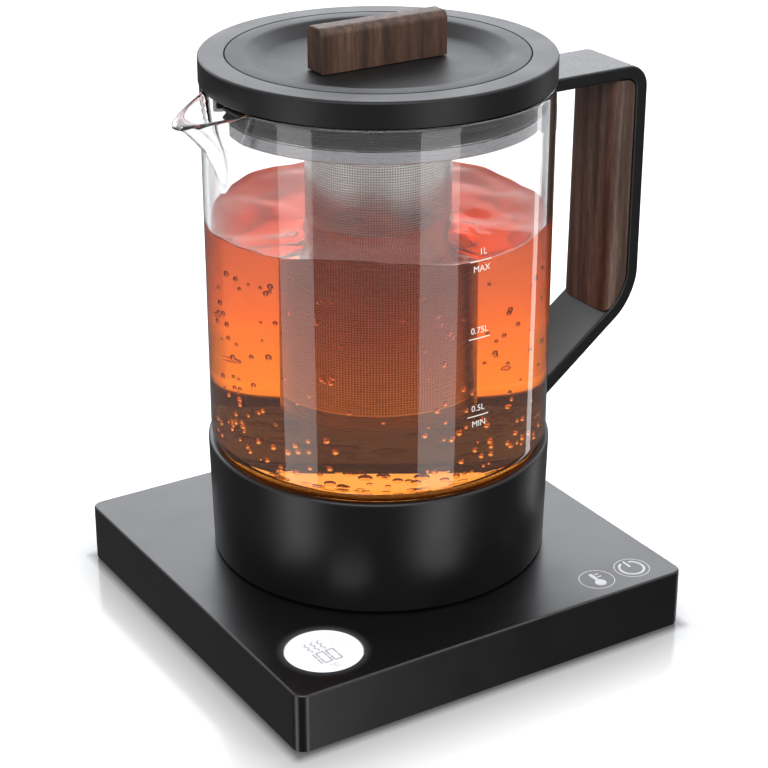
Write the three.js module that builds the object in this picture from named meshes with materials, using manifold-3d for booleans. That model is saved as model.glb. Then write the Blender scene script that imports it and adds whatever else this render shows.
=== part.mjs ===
// Glass tea kettle that stands on a square powered base: the base, a glass jug with a heated floor,
// a strap handle with a walnut grip, and a two-part lid that carries a perforated steel infuser.
// Millimetres, +Z up. The handle points along +X, the spout along -X and the controls face -Y.
// The origin is the middle of the footprint on the table, under the centre of the bounding box.
import * as THREE from "three";
import { mergeVertices } from "three/addons/utils/BufferGeometryUtils.js";
import Module from "manifold-3d";

const wasm = await Module();
wasm.setup();

// General
const GAP = 0.3;
const OVERRUN = 1;
const ROUND = 36;
const HIDDEN_ROUND = 20;
const SMALL_ROUND = 16;
const TINY_ROUND = 8;

// Base plate
const PLATE_SIDE = 150.2;
const PLATE_CORNER = 4;
const PLATE_EDGE = 0.8;
const PLATE_THICK = 20.3;
const PLATE_WALL = 2.4;
const FOOT_STAND = 1;
const PLATE_TOP = FOOT_STAND + PLATE_THICK;
const PLATE_UNDER = PLATE_TOP - PLATE_WALL;
const FOOT_RADIUS = 6;
const FOOT_INSET = 15;
const COVER_LOW = 1.3;
const COVER_HIGH = 3.5;

// Place of the jug's axis, seen from the centre of the plate
const JUG_X = 2.36;
const JUG_Y = 3.57;

// Jug, with heights counted from the top of the plate
const GLASS_RADIUS = 57;
const GLASS_WALL = 2;
const GLASS_NECK = 55.3;
const GLASS_FOOT = 13.8;
const GLASS_EDGE = 0.6;
const RIM_HEIGHT = 163.5;
const SHELL_LOW_RADIUS = 57.2;
const SHELL_TOP_RADIUS = 58.1;
const SHELL_HEIGHT = 40;
const FLOOR_HEIGHT = 14;
const FLOOR_THICK = 1.2;
const JUG_COVER_LOW = 1.5;
const JUG_COVER_HIGH = 3.6;

// Spout, pulled out of the glass wall below the rim
const SPOUT_REACH = 21.5;
const SPOUT_REACH_POWER = 1.8;
const SPOUT_HALF_WIDTH = 15.7;
const SPOUT_WIDTH_POWER = 0.7;
const SPOUT_ROOT = 135;
const SPOUT_TIP = 72.8;
const SPOUT_TIP_DROP = 4.2;

// Handle, in the jug's upright middle plane
const HANDLE_REACH = 99.5;
const HANDLE_WIDTH = 26;
const STRAP_THICK = 4.8;
const STRAP_TOP = 156.4;
const STRAP_ARM_THICK = 4.5;
const STRAP_EDGE = 0.6;
const STRAP_CORNER = 8;
const STRAP_INNER_CORNER = 4;
const STRAP_BEND = 21;
const STRAP_BEND_HEIGHT = 82;
const STRAP_SLOPE = THREE.MathUtils.degToRad(37);
const GRIP_FACE = 86;
const GRIP_EDGE = 4.5;

// Lid and infuser
const LID_RADIUS = 57.3;
const LID_TOP = 172.2;
const LID_EDGE = 0.9;
const SEAM_RADIUS = 48.6;
const DISH_RADIUS = 42.3;
const DISH_FLOOR_RADIUS = 37;
const DISH_DEPTH = 4;
const DISH_SKIN = 1.8;
const SKIRT_RADIUS = 53;
const SKIRT_INNER = 50.4;
const SKIRT_LOW = 156;
const LEDGE_HIGH = 166;
const BAND_LOW = 151.6;
const POUR_AZIMUTH = 162;
const POUR_HALF_ANGLE = 15;
const FUNNEL_RADIUS = 46.5;
const FUNNEL_SHEET = 0.8;
const FUNNEL_FLANGE = 0.9;
const INFUSER_RADIUS = 24;
const INFUSER_WALL = 0.8;
const INFUSER_LOW = 53.6;
const KEY_AZIMUTHS = [30, 150, 270];
const KEY_HALF_ANGLE = 5;
const KNOB_LENGTH = 46.7;
const KNOB_WIDTH = 9.2;
const KNOB_HEIGHT = 14.3;
const KNOB_ARCH = 2.5;
const KNOB_EDGE = 0.5;

// Connector: a boss on the base that the jug drops over, with a centre pin and a ring contact
const BOSS_RADIUS = 15.5;
const BOSS_RISE = 7.5;
const BOSS_TOP = PLATE_TOP + BOSS_RISE;
const SLOT_FLOOR = BOSS_TOP - 6.5;
const PIN_SLOT_RADIUS = 3.4;
const RING_SLOT_INNER = 6.6;
const RING_SLOT_OUTER = 10;
const SOCKET_ROOF = 8.2;

// Controls on the plate, seen from its centre
const DISPLAY = { x: -54.4, y: -55.3, radius: 12.5, flange: 14, low: 17.5 };
const TOUCH_KEYS = [
  { name: "touch_sensor_temperature", x: 46.1, y: -64.8 },
  { name: "touch_sensor_power", x: 60.9, y: -64.7 },
];

// Screws: radius of the flat head, radius of the shank, height of the head's face, and length
const COVER_SCREW = { head: 2.8, shank: 1.5, low: 1.7, length: 10 };
const JUG_SCREW = { head: 2.8, shank: 1.5, low: 1.9, length: 7 };
const FOOT_SCREW = { head: 2.6, shank: 1.3, low: 0, length: 5.8 };
const GRIP_SCREW = { head: 3, shank: 1.6, low: 0, length: 11 };
const TENON_SCREW = { head: 2, shank: 1, low: STRAP_TOP - STRAP_ARM_THICK + 0.1, length: 4 };
const KNOB_SCREW = { head: 3, shank: 1.5, low: LID_TOP - DISH_DEPTH - DISH_SKIN, length: 12 };

const FINISHES = {
  satinBlack: { color: 0x17181a, roughness: 0.42, metalness: 0 },
  lidBlack: { color: 0x2c2d30, roughness: 0.5, metalness: 0 },
  strapBlack: { color: 0x141516, roughness: 0.35, metalness: 0.1 },
  innerBlack: { color: 0x202123, roughness: 0.6, metalness: 0 },
  rubber: { color: 0x1b1b1c, roughness: 0.9, metalness: 0 },
  silicone: { color: 0x26262a, roughness: 0.7, metalness: 0 },
  walnut: { color: 0x4a2f22, roughness: 0.55, metalness: 0 },
  walnutGrip: { color: 0x5a453a, roughness: 0.5, metalness: 0 },
  steel: { color: 0xb9b7b6, roughness: 0.3, metalness: 1 },
  brass: { color: 0xb8964e, roughness: 0.35, metalness: 1 },
  board: { color: 0x1f5a38, roughness: 0.6, metalness: 0 },
  lens: { color: 0xf4f4f2, roughness: 0.3, metalness: 0 },
};

function finishOf(name) {
  return new THREE.MeshStandardMaterial({ name, ...FINISHES[name] });
}

function glassFinish() {
  const look = { name: "glass", color: 0xffffff, roughness: 0.03, metalness: 0 };
  return new THREE.MeshStandardMaterial({ ...look, transparent: true, opacity: 0.3 });
}

// Solid operations

function toSolid(geometry) {
  const bare = new THREE.BufferGeometry();
  bare.setAttribute("position", geometry.getAttribute("position"));
  bare.setIndex(geometry.getIndex());
  const merged = mergeVertices(bare, 1e-4);
  const vertProperties = merged.getAttribute("position").array;
  const triVerts = new Uint32Array(merged.getIndex().array);
  return new wasm.Manifold(new wasm.Mesh({ numProp: 3, vertProperties, triVerts }));
}

function toGeometry(solid) {
  const { vertProperties, triVerts } = solid.getMesh();
  const geometry = new THREE.BufferGeometry();
  geometry.setAttribute("position", new THREE.BufferAttribute(vertProperties, 3));
  geometry.setIndex(new THREE.BufferAttribute(triVerts, 1));
  geometry.computeVertexNormals();
  return geometry;
}

function join(...pieces) {
  return toGeometry(pieces.map(toSolid).reduce((whole, piece) => whole.add(piece)));
}

function cut(blank, ...tools) {
  return toGeometry(tools.map(toSolid).reduce((rest, tool) => rest.subtract(tool), toSolid(blank)));
}

function overlap(first, second) {
  return toGeometry(toSolid(first).intersect(toSolid(second)));
}

// Basic forms

// A profile of [radius, height] points turned about the Z axis, open only at the axis.
function turned(profile, segments = ROUND) {
  const points = profile.map(([radius, height]) => new THREE.Vector2(radius, height));
  return new THREE.LatheGeometry(points, segments).rotateX(Math.PI / 2);
}

// A ring: a closed profile that stays clear of the axis, outer side going up.
function ring(profile, segments = ROUND) {
  return turned([...profile, profile[0]], segments);
}

// A plain washer or tube wall between two radii.
function collar(inner, outer, low, high, segments = ROUND) {
  const profile = [[inner, low], [outer, low], [outer, high], [inner, high]];
  return ring(profile, segments);
}

function rod(radius, low, high, segments = SMALL_ROUND) {
  const height = high - low;
  const shape = new THREE.CylinderGeometry(radius, radius, height, segments);
  return shape.rotateX(Math.PI / 2).translate(0, 0, low + height / 2);
}

// An outline in the XY plane raised from low to high, with both rims chamfered by edge.
function raised(outline, low, high, edge = 0, curveSegments = TINY_ROUND) {
  const settings = { depth: high - low - 2 * edge, curveSegments, bevelEnabled: edge > 0 };
  const bevel = { bevelThickness: edge, bevelSize: edge, bevelOffset: -edge, bevelSegments: 1 };
  return new THREE.ExtrudeGeometry(outline, { ...settings, ...bevel }).translate(0, 0, low + edge);
}

// An outline drawn in the XZ plane, made width wide about the middle plane y = 0.
function upright(outline, width, edge = 0, curveSegments = TINY_ROUND) {
  return raised(outline, -width / 2, width / 2, edge, curveSegments).rotateX(Math.PI / 2);
}

function roundedBox(width, depth, corner) {
  const x = width / 2 - corner;
  const y = depth / 2 - corner;
  const outline = new THREE.Shape();
  outline.absarc(x, -y, corner, -Math.PI / 2, 0);
  outline.absarc(x, y, corner, 0, Math.PI / 2);
  outline.absarc(-x, y, corner, Math.PI / 2, Math.PI);
  outline.absarc(-x, -y, corner, Math.PI, 1.5 * Math.PI);
  outline.closePath();
  return outline;
}

function block(width, depth, low, high) {
  return new THREE.BoxGeometry(width, depth, high - low).translate(0, 0, (low + high) / 2);
}

// A piece of a round wall: between two radii, about one azimuth, angles in degrees.
function sector(inner, outer, azimuth, halfAngle, low, high, curveSegments = TINY_ROUND) {
  const from = THREE.MathUtils.degToRad(azimuth - halfAngle);
  const to = THREE.MathUtils.degToRad(azimuth + halfAngle);
  const outline = new THREE.Shape();
  outline.absarc(0, 0, outer, from, to, false);
  outline.absarc(0, 0, inner, to, from, true);
  outline.closePath();
  return raised(outline, low, high, 0, curveSegments);
}

// Rings of points with the same count, skinned into one closed body with flat ends.
function loft(rings) {
  const count = rings[0].length;
  const corners = rings.flat().flatMap((point) => point.toArray());
  const faces = [];
  for (let level = 0; level + 1 < rings.length; level += 1) {
    for (let i = 0; i < count; i += 1) {
      const next = (i + 1) % count;
      const [a, b] = [level * count + i, level * count + next];
      faces.push(a, b, b + count, a, b + count, a + count);
    }
  }
  const flat = (points) => points.map((point) => new THREE.Vector2(point.x, point.y));
  const top = (rings.length - 1) * count;
  for (const [a, b, c] of THREE.ShapeUtils.triangulateShape(flat(rings[0]), [])) {
    faces.push(c, b, a);
  }
  for (const [a, b, c] of THREE.ShapeUtils.triangulateShape(flat(rings.at(-1)), [])) {
    faces.push(top + a, top + b, top + c);
  }
  const geometry = new THREE.BufferGeometry();
  geometry.setAttribute("position", new THREE.Float32BufferAttribute(corners, 3));
  geometry.setIndex(faces);
  return geometry;
}

// A countersunk screw that points up: flat head below, shank above.
function screw({ head, shank, low, length }) {
  const neck = low + head - shank;
  const profile = [[0, low], [head, low], [shank, neck], [shank, low + length], [0, low + length]];
  return turned(profile, TINY_ROUND);
}

// The room that a screw needs in what it holds, with the gap all round it.
function screwRoom({ head, shank, low, length }) {
  return join(
    screw({ head: head + GAP, shank: shank + GAP, low, length: length + GAP }),
    rod(head + GAP, low - head, low, TINY_ROUND),
  );
}

// Screws that lie along X: one that points up is tipped over so that it points to -X.
function tipped(geometry, x, y, z) {
  return geometry.rotateY(-Math.PI / 2).translate(x, y, z);
}

// Copies of a feature at the given places in the XY plane.
function placed(places, make) {
  return places.map(({ x, y }) => make().translate(x, y, 0));
}

// Places at one radius about the Z axis, from azimuths in degrees.
function onCircle(azimuths, radius) {
  return azimuths.map((azimuth) => {
    const turn = THREE.MathUtils.degToRad(azimuth);
    return { x: radius * Math.cos(turn), y: radius * Math.sin(turn) };
  });
}

function piece(name, geometry, material) {
  const mesh = new THREE.Mesh(geometry, material);
  mesh.name = name;
  return mesh;
}

// Base

const COVER_SCREW_PLACES = [
  { x: 66, y: 36 },
  { x: -66, y: 36 },
  { x: -66, y: -36 },
  { x: 66, y: -36 },
];
const FOOT_PLACES = [
  { name: "foot_rear_right", x: 1, y: 1 },
  { name: "foot_rear_left", x: -1, y: 1 },
  { name: "foot_front_left", x: -1, y: -1 },
  { name: "foot_front_right", x: 1, y: -1 },
].map(({ name, x, y }) => {
  const inset = PLATE_SIDE / 2 - FOOT_INSET;
  return { name, x: x * inset, y: y * inset };
});
const CONTROL_BOARD = { x: 0, y: -56.8, width: 136, depth: 29, low: 14.6, high: 16.2 };
const CONTROL_POSTS = [
  { x: -30, y: -48 },
  { x: 26, y: -48 },
  { x: -30, y: -66 },
  { x: 26, y: -66 },
];
const POWER_BOARD = { x: 0, y: 47, width: 70, depth: 32, low: 6, high: 7.6 };
const POWER_POSTS = [
  { x: -31, y: 36 },
  { x: 31, y: 36 },
  { x: -31, y: 58 },
  { x: 31, y: 58 },
];
const SCREW_POST_RADIUS = 4;
const BOARD_POST_RADIUS = 2.5;
const CONNECTOR_STEM = { radius: 14, edge: 2, low: 6, flange: 20, flangeLow: 16 };
const CONTACT_HEIGHT = 4.7;
const GLAND = { height: 10.5, outer: 5, flange: 6.5, flangeThick: 1.8, bore: 3.3, inner: 65.5 };

function baseHousing() {
  const inside = PLATE_SIDE - 2 * PLATE_WALL;
  const outline = roundedBox(PLATE_SIDE, PLATE_SIDE, PLATE_CORNER);
  const blank = raised(outline, FOOT_STAND, PLATE_TOP, PLATE_EDGE, 4);
  const hollow = roundedBox(inside, inside, PLATE_CORNER / 2);
  const pocket = raised(hollow, FOOT_STAND - OVERRUN, PLATE_UNDER, 0, 3);
  const hole = (radius) => rod(radius + GAP, PLATE_UNDER - OVERRUN, PLATE_TOP + OVERRUN, HIDDEN_ROUND);
  const glandHole = rod(GLAND.outer + GAP, 0, PLATE_WALL + 2 * OVERRUN).rotateX(-Math.PI / 2);
  const shell = cut(
    blank,
    pocket,
    hole(BOSS_RADIUS).translate(JUG_X, JUG_Y, 0),
    hole(DISPLAY.radius).translate(DISPLAY.x, DISPLAY.y, 0),
    glandHole.translate(0, PLATE_SIDE / 2 - PLATE_WALL - OVERRUN, GLAND.height),
  );
  const roof = PLATE_UNDER + OVERRUN;
  const post = () => rod(SCREW_POST_RADIUS, COVER_HIGH + GAP, roof, TINY_ROUND);
  const peg = () => rod(BOARD_POST_RADIUS, CONTROL_BOARD.high + GAP, roof, TINY_ROUND);
  const posts = [...placed(COVER_SCREW_PLACES, post), ...placed(CONTROL_POSTS, peg)];
  return cut(join(shell, ...posts), ...placed(COVER_SCREW_PLACES, () => screwRoom(COVER_SCREW)));
}

function baseBottomCover() {
  const side = PLATE_SIDE - 2 * PLATE_WALL - 2 * GAP;
  const plate = raised(roundedBox(side, side, PLATE_CORNER / 2), COVER_LOW, COVER_HIGH, 0, 3);
  const footRoom = () => rod(FOOT_RADIUS + GAP, 0, COVER_LOW + OVERRUN);
  const post = (high) => rod(BOARD_POST_RADIUS, COVER_LOW + OVERRUN, high - GAP, TINY_ROUND);
  const posts = [
    ...placed(CONTROL_POSTS, () => post(CONTROL_BOARD.low)),
    ...placed(POWER_POSTS, () => post(POWER_BOARD.low)),
  ];
  const rooms = placed(COVER_SCREW_PLACES, () => screwRoom(COVER_SCREW));
  return cut(join(plate, ...posts), ...placed(FOOT_PLACES, footRoom), ...rooms);
}

function foot() {
  const high = COVER_LOW + OVERRUN - GAP;
  const profile = [[0, 0], [FOOT_RADIUS - 1, 0], [FOOT_RADIUS, 0.8], [FOOT_RADIUS, high], [0, high]];
  return turned(profile, SMALL_ROUND);
}

// The raised round connector: a flange held under the plate, and slots for the jug's pin and ring.
function baseConnector() {
  const { radius, edge, low, flange, flangeLow } = CONNECTOR_STEM;
  return turned([
    [0, low],
    [radius - edge, low],
    [radius, low + edge],
    [radius, flangeLow],
    [flange, flangeLow],
    [flange, PLATE_UNDER - GAP],
    [BOSS_RADIUS, PLATE_UNDER - GAP],
    [BOSS_RADIUS, BOSS_TOP - 1],
    [BOSS_RADIUS - 1, BOSS_TOP],
    [RING_SLOT_OUTER, BOSS_TOP],
    [RING_SLOT_OUTER, SLOT_FLOOR],
    [RING_SLOT_INNER, SLOT_FLOOR],
    [RING_SLOT_INNER, BOSS_TOP],
    [PIN_SLOT_RADIUS, BOSS_TOP],
    [PIN_SLOT_RADIUS, SLOT_FLOOR],
    [0, SLOT_FLOOR],
  ], HIDDEN_ROUND);
}

// A sprung contact that lines the outer wall of its slot.
function baseContact(slotRadius, thick, segments) {
  const outer = slotRadius - GAP - 0.1;
  const low = SLOT_FLOOR + GAP;
  return collar(outer - thick, outer, low, low + CONTACT_HEIGHT, segments);
}

function controlBoard() {
  const { x, y, width, depth, low, high } = CONTROL_BOARD;
  const board = block(width, depth, low, high);
  const chip = block(9, 9, high - GAP, high + 1.2).translate(0, -2, 0);
  const driver = block(6, 4, high - GAP, high + 1.6).translate(14, 5, 0);
  const socket = block(12, 5, low - 5, low + GAP).translate(0, 10, 0);
  return join(board, chip, driver, socket).translate(x, y, 0);
}

function powerBoard() {
  const { x, y, width, depth, low, high } = POWER_BOARD;
  const board = block(width, depth, low, high);
  const relay = block(19, 15, high - GAP, high + 10).translate(-18, 2, 0);
  const transformer = block(14, 13, high - GAP, high + 9).translate(22, 3, 0);
  const capacitor = rod(4, high - GAP, high + 9.5, TINY_ROUND).translate(4, -6, 0);
  const terminals = block(12, 7, high - GAP, high + 6).translate(2, 9, 0);
  return join(board, relay, transformer, capacitor, terminals).translate(x, y, 0);
}

// A spring with a disc on top, which carries the touch of a finger to the control board.
function touchSensor() {
  const high = PLATE_UNDER - GAP;
  const disc = rod(5.5, high - 0.8, high, SMALL_ROUND);
  return join(disc, collar(3, 4, CONTROL_BOARD.high + GAP, high - 0.5, SMALL_ROUND));
}

function displayLens() {
  const { radius, flange, low } = DISPLAY;
  return turned([
    [0, low],
    [flange, low],
    [flange, PLATE_UNDER - GAP],
    [radius, PLATE_UNDER - GAP],
    [radius, PLATE_TOP],
    [0, PLATE_TOP],
  ], HIDDEN_ROUND);
}

function displayModule() {
  return rod(DISPLAY.radius - 1.5, CONTROL_BOARD.high + GAP, DISPLAY.low - GAP, SMALL_ROUND);
}

// The bush through the rear wall that the mains cord passes, flush with the wall outside.
function cordGland() {
  const { height, outer, flange, flangeThick, bore, inner } = GLAND;
  const back = PLATE_SIDE / 2;
  const wallInside = back - PLATE_WALL - GAP;
  return ring([
    [bore, inner],
    [outer, inner],
    [outer, wallInside - flangeThick],
    [flange, wallInside - flangeThick],
    [flange, wallInside],
    [outer, wallInside],
    [outer, back],
    [bore, back],
  ], SMALL_ROUND).rotateX(-Math.PI / 2).translate(0, 0, height);
}

function buildBase() {
  const base = new THREE.Group();
  const add = (name, geometry, finish, x = 0, y = 0) => {
    const mesh = piece(name, geometry, finishOf(finish));
    mesh.position.set(x, y, 0);
    base.add(mesh);
  };
  add("base_housing", baseHousing(), "satinBlack");
  add("base_bottom_cover", baseBottomCover(), "innerBlack");
  FOOT_PLACES.forEach(({ name, x, y }) => add(name, foot(), "rubber", x, y));
  COVER_SCREW_PLACES.forEach(({ x, y }, i) => {
    add(`base_cover_screw_${i + 1}`, screw(COVER_SCREW), "steel", x, y);
  });
  const ringContact = baseContact(RING_SLOT_OUTER, 1, HIDDEN_ROUND);
  const tubeContact = baseContact(PIN_SLOT_RADIUS, 0.9, SMALL_ROUND);
  add("base_connector", baseConnector(), "innerBlack", JUG_X, JUG_Y);
  add("base_contact_ring", ringContact, "brass", JUG_X, JUG_Y);
  add("base_contact_tube", tubeContact, "brass", JUG_X, JUG_Y);
  add("control_board", controlBoard(), "board");
  add("power_board", powerBoard(), "board");
  TOUCH_KEYS.forEach(({ name, x, y }) => add(name, touchSensor(), "brass", x, y));
  add("display_lens", displayLens(), "lens", DISPLAY.x, DISPLAY.y);
  add("display_module", displayModule(), "lens", DISPLAY.x, DISPLAY.y);
  add("cord_gland", cordGland(), "rubber");
  return base;
}

// Jug

const JUG_SCREW_PLACES = onCircle([30, 150, 270], 48.6);
const SHELL = { inner: 55, ledge: 52.2, ledgeLow: 7.9, ledgeHigh: 9.9, boss: 4.4, lip: 1.4 };
const SOCKET = { radius: BOSS_RADIUS + 0.7, outer: 18.6, high: 10.5, flange: 21, flangeThick: 1.6 };
const CONTACT_LOW = BOSS_RISE - 4.5;
const FLOOR = { radius: 50.1, lean: 0.7, rim: 55.2, rimLow: 10.2 };
const FLOOR_UNDER = FLOOR_HEIGHT - FLOOR_THICK;
const SENSOR = { radius: 6, thick: 1.7 };
const ELEMENT = { tube: 3.2, loop: 36, opening: THREE.MathUtils.degToRad(50) };
const SHOULDER = { low: 0.2, middle: 1.7, high: 3.4, ease: 0.4, inset: 0.5 };
const SPOUT_SHARES = [0.08, 0.2, 0.34, 0.48, 0.62, 0.76, 0.88, 1];
const SPOUT_STEPS = 16;
const SPOUT_OVERLAP = 9;
const HANDLE_FOOT = { width: 18, low: 25, inner: 54, outer: 62.4, toe: 3, chamfer: 2.4, overlap: 5 };
const FOOT_SCREW_HEIGHT = 31;
const FOOT_SCREW_SPREAD = 4.8;
const SCREW_SINK = 0.2;
const GRIP_SCREWS = [
  { name: "grip_screw_upper", height: 138 },
  { name: "grip_screw_lower", height: 92 },
];
const PAD = { inner: GLASS_RADIUS + GAP, outer: 60, halfAngle: 19, low: 141, high: 150.6 };
const PAD_ROOT = { halfAngle: 12.4, low: 150 };
const TENON = { reach: 69, width: 16, low: 153.2, high: 155.1, screwX: 65 };

function jugBaseShell() {
  const { inner, ledge, ledgeLow, ledgeHigh, boss, lip } = SHELL;
  const seat = GLASS_NECK + GAP;
  const top = SHELL_HEIGHT + GAP;
  const wall = ring([
    [inner, GAP],
    [SHELL_LOW_RADIUS - 0.7, GAP],
    [SHELL_LOW_RADIUS, 1],
    [SHELL_TOP_RADIUS, SHELL_HEIGHT - 1],
    [SHELL_TOP_RADIUS - lip, top],
    [seat, top],
    [seat, ledgeHigh],
    [ledge, ledgeHigh],
    [ledge, ledgeLow],
    [inner, ledgeLow - 2],
  ]);
  const bosses = placed(JUG_SCREW_PLACES, () => rod(boss, JUG_COVER_HIGH + GAP, ledgeHigh, TINY_ROUND));
  const rooms = placed(JUG_SCREW_PLACES, () => screwRoom(JUG_SCREW));
  return cut(join(wall, ...bosses), ...rooms, ...footScrewRooms());
}

function jugBaseCover() {
  const disc = collar(BOSS_RADIUS + 1, SHELL.inner - GAP, JUG_COVER_LOW, JUG_COVER_HIGH, HIDDEN_ROUND);
  return cut(disc, ...placed(JUG_SCREW_PLACES, () => screwRoom(JUG_SCREW)));
}

// The jug's half of the connector: a cap that drops over the boss on the base.
function jugConnector() {
  const { radius, outer, high, flange, flangeThick } = SOCKET;
  const low = JUG_COVER_HIGH + GAP;
  return turned([
    [0, SOCKET_ROOF],
    [radius, SOCKET_ROOF],
    [radius, low],
    [flange, low],
    [flange, low + flangeThick],
    [outer, low + flangeThick],
    [outer, high],
    [0, high],
  ], HIDDEN_ROUND);
}

// Steel floor of the jug: a raised pan whose rim passes under the foot of the glass.
function heaterPlate() {
  const { radius, lean, rim, rimLow } = FLOOR;
  return turned([
    [0, FLOOR_UNDER],
    [radius - lean, FLOOR_UNDER],
    [radius + lean, rimLow],
    [rim, rimLow],
    [rim, rimLow + FLOOR_THICK],
    [radius + 2 * lean, rimLow + FLOOR_THICK],
    [radius, FLOOR_HEIGHT],
    [0, FLOOR_HEIGHT],
  ]);
}

// L-shaped gasket between the rim of the floor and the foot of the glass.
function floorSeal() {
  const low = FLOOR.rimLow + FLOOR_THICK + GAP;
  const inner = FLOOR.radius + 1.8;
  const lip = inner + 1.1;
  return ring([
    [inner, low],
    [FLOOR.rim, low],
    [FLOOR.rim, GLASS_FOOT - GAP],
    [lip, GLASS_FOOT - GAP],
    [lip, GLASS_FOOT + 2],
    [inner, GLASS_FOOT + 2],
  ]);
}

// An open loop of one radius at one height.
class ElementLoop extends THREE.Curve {
  constructor(radius, height, opening) {
    super();
    Object.assign(this, { radius, height, opening });
  }

  getPoint(share, target = new THREE.Vector3()) {
    const angle = this.opening / 2 + share * (2 * Math.PI - this.opening);
    return target.set(this.radius * Math.cos(angle), this.radius * Math.sin(angle), this.height);
  }
}

// Sheathed heating element, brazed in an open loop under the floor.
function heatingElement() {
  const { tube, loop, opening } = ELEMENT;
  const section = new THREE.Shape().absarc(0, 0, tube, 0, 2 * Math.PI);
  const extrudePath = new ElementLoop(loop, FLOOR_UNDER - GAP - tube, opening);
  return new THREE.ExtrudeGeometry(section, { extrudePath, steps: 24, curveSegments: 3 });
}

// How far the spout stands out of the round wall, and half its width, at a share of its height.
function spoutSection(share) {
  return {
    reach: SPOUT_REACH * share ** SPOUT_REACH_POWER,
    halfWidth: SPOUT_HALF_WIDTH * share ** SPOUT_WIDTH_POWER,
  };
}

// One level of the spout: a smooth nose on the round wall, closed by a line inside the jug.
function spoutRing(share, wallRadius, inset, height) {
  const { reach, halfWidth } = spoutSection(share);
  const half = halfWidth - inset;
  const points = [];
  for (let i = 0; i <= SPOUT_STEPS; i += 1) {
    const side = (2 * i) / SPOUT_STEPS - 1;
    const y = side * half;
    const nose = (1 + Math.cos(Math.PI * side)) / 2;
    points.push(new THREE.Vector3(-Math.sqrt(wallRadius ** 2 - y * y) - reach * nose, y, height));
  }
  points.push(new THREE.Vector3(SPOUT_OVERLAP - wallRadius, half, height));
  points.push(new THREE.Vector3(SPOUT_OVERLAP - wallRadius, -half, height));
  return points.reverse();
}

function spoutBody(wallRadius, inset, shares) {
  const full = RIM_HEIGHT - SPOUT_ROOT;
  return loft(shares.map((share) => spoutRing(share, wallRadius, inset, SPOUT_ROOT + share * full)));
}

// All that lies above the spout's lip, which falls from the rim to the tip.
function aboveLip() {
  const start = Math.sqrt(GLASS_RADIUS ** 2 - SPOUT_HALF_WIDTH ** 2);
  const fall = Math.atan2(SPOUT_TIP_DROP, SPOUT_TIP - start);
  const length = 2 * SPOUT_REACH;
  const space = block(length, 2 * GLASS_RADIUS, 0, SPOUT_REACH).translate(-length / 2, 0, 0);
  return space.rotateY(-fall).translate(-start, 0, RIM_HEIGHT);
}

// The glass: a round wall with a narrow neck in the base shell, and a spout pulled from its rim.
function glassBody() {
  const inner = GLASS_RADIUS - GLASS_WALL;
  const neckInner = GLASS_NECK - GLASS_WALL;
  const { low, middle, high, ease, inset } = SHOULDER;
  const wall = ring([
    [neckInner, GLASS_FOOT],
    [GLASS_NECK, GLASS_FOOT],
    [GLASS_NECK, SHELL_HEIGHT + low],
    [GLASS_RADIUS - ease, SHELL_HEIGHT + middle],
    [GLASS_RADIUS, SHELL_HEIGHT + high],
    [GLASS_RADIUS, RIM_HEIGHT - GLASS_EDGE],
    [GLASS_RADIUS - GLASS_EDGE, RIM_HEIGHT],
    [inner + GLASS_EDGE, RIM_HEIGHT],
    [inner, RIM_HEIGHT - GLASS_EDGE],
    [inner, SHELL_HEIGHT + inset + high],
    [inner - ease, SHELL_HEIGHT + inset + middle],
    [neckInner, SHELL_HEIGHT + inset + low],
  ]);
  const hollow = rod(inner, SPOUT_ROOT - OVERRUN, RIM_HEIGHT + OVERRUN, ROUND);
  const channel = spoutBody(inner, GLASS_WALL / 2, [...SPOUT_SHARES.slice(1), 1.1]);
  const nose = cut(spoutBody(GLASS_RADIUS, 0, SPOUT_SHARES), hollow, aboveLip());
  return cut(join(wall, nose), channel);
}

// Where the sloping arm's line reaches a distance from the axis, when it leaves the bend at a radius.
function slopeHeight(radius, x) {
  const turn = STRAP_SLOPE - Math.PI / 2;
  const leaveX = HANDLE_REACH - STRAP_BEND + radius * Math.cos(turn);
  const leaveZ = STRAP_BEND_HEIGHT + radius * Math.sin(turn);
  return leaveZ - (leaveX - x) * Math.tan(STRAP_SLOPE);
}

// Side view of the strap: top arm, outer corner, upright, wide lower bend and sloping arm.
function strapOutline(startX, endX) {
  const outline = new THREE.Shape();
  const inner = HANDLE_REACH - STRAP_THICK;
  const bendX = HANDLE_REACH - STRAP_BEND;
  const turn = STRAP_SLOPE - Math.PI / 2;
  const innerBend = STRAP_BEND - STRAP_THICK;
  const cornerX = HANDLE_REACH - STRAP_CORNER;
  const armUnder = STRAP_TOP - STRAP_ARM_THICK;
  const hollow = STRAP_INNER_CORNER;
  outline.moveTo(startX, STRAP_TOP);
  outline.lineTo(cornerX, STRAP_TOP);
  outline.absarc(cornerX, STRAP_TOP - STRAP_CORNER, STRAP_CORNER, Math.PI / 2, 0, true);
  outline.absarc(bendX, STRAP_BEND_HEIGHT, STRAP_BEND, 0, turn, true);
  outline.lineTo(endX, slopeHeight(STRAP_BEND, endX));
  outline.lineTo(endX, slopeHeight(innerBend, endX));
  outline.absarc(bendX, STRAP_BEND_HEIGHT, innerBend, turn, 0, false);
  outline.absarc(inner - hollow, armUnder - hollow, hollow, 0, Math.PI / 2, false);
  outline.lineTo(startX, armUnder);
  outline.closePath();
  return outline;
}

// The lug that screws to the base shell below the end of the sloping arm.
function handleLug() {
  const { width, low, inner, outer, toe, chamfer, overlap: above } = HANDLE_FOOT;
  const outline = new THREE.Shape();
  outline.moveTo(inner, low);
  outline.lineTo(outer - chamfer, low);
  outline.lineTo(outer, low + toe);
  outline.lineTo(outer, SHELL_HEIGHT + above);
  outline.lineTo(inner, SHELL_HEIGHT + above);
  return upright(outline, width, STRAP_EDGE);
}

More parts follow.
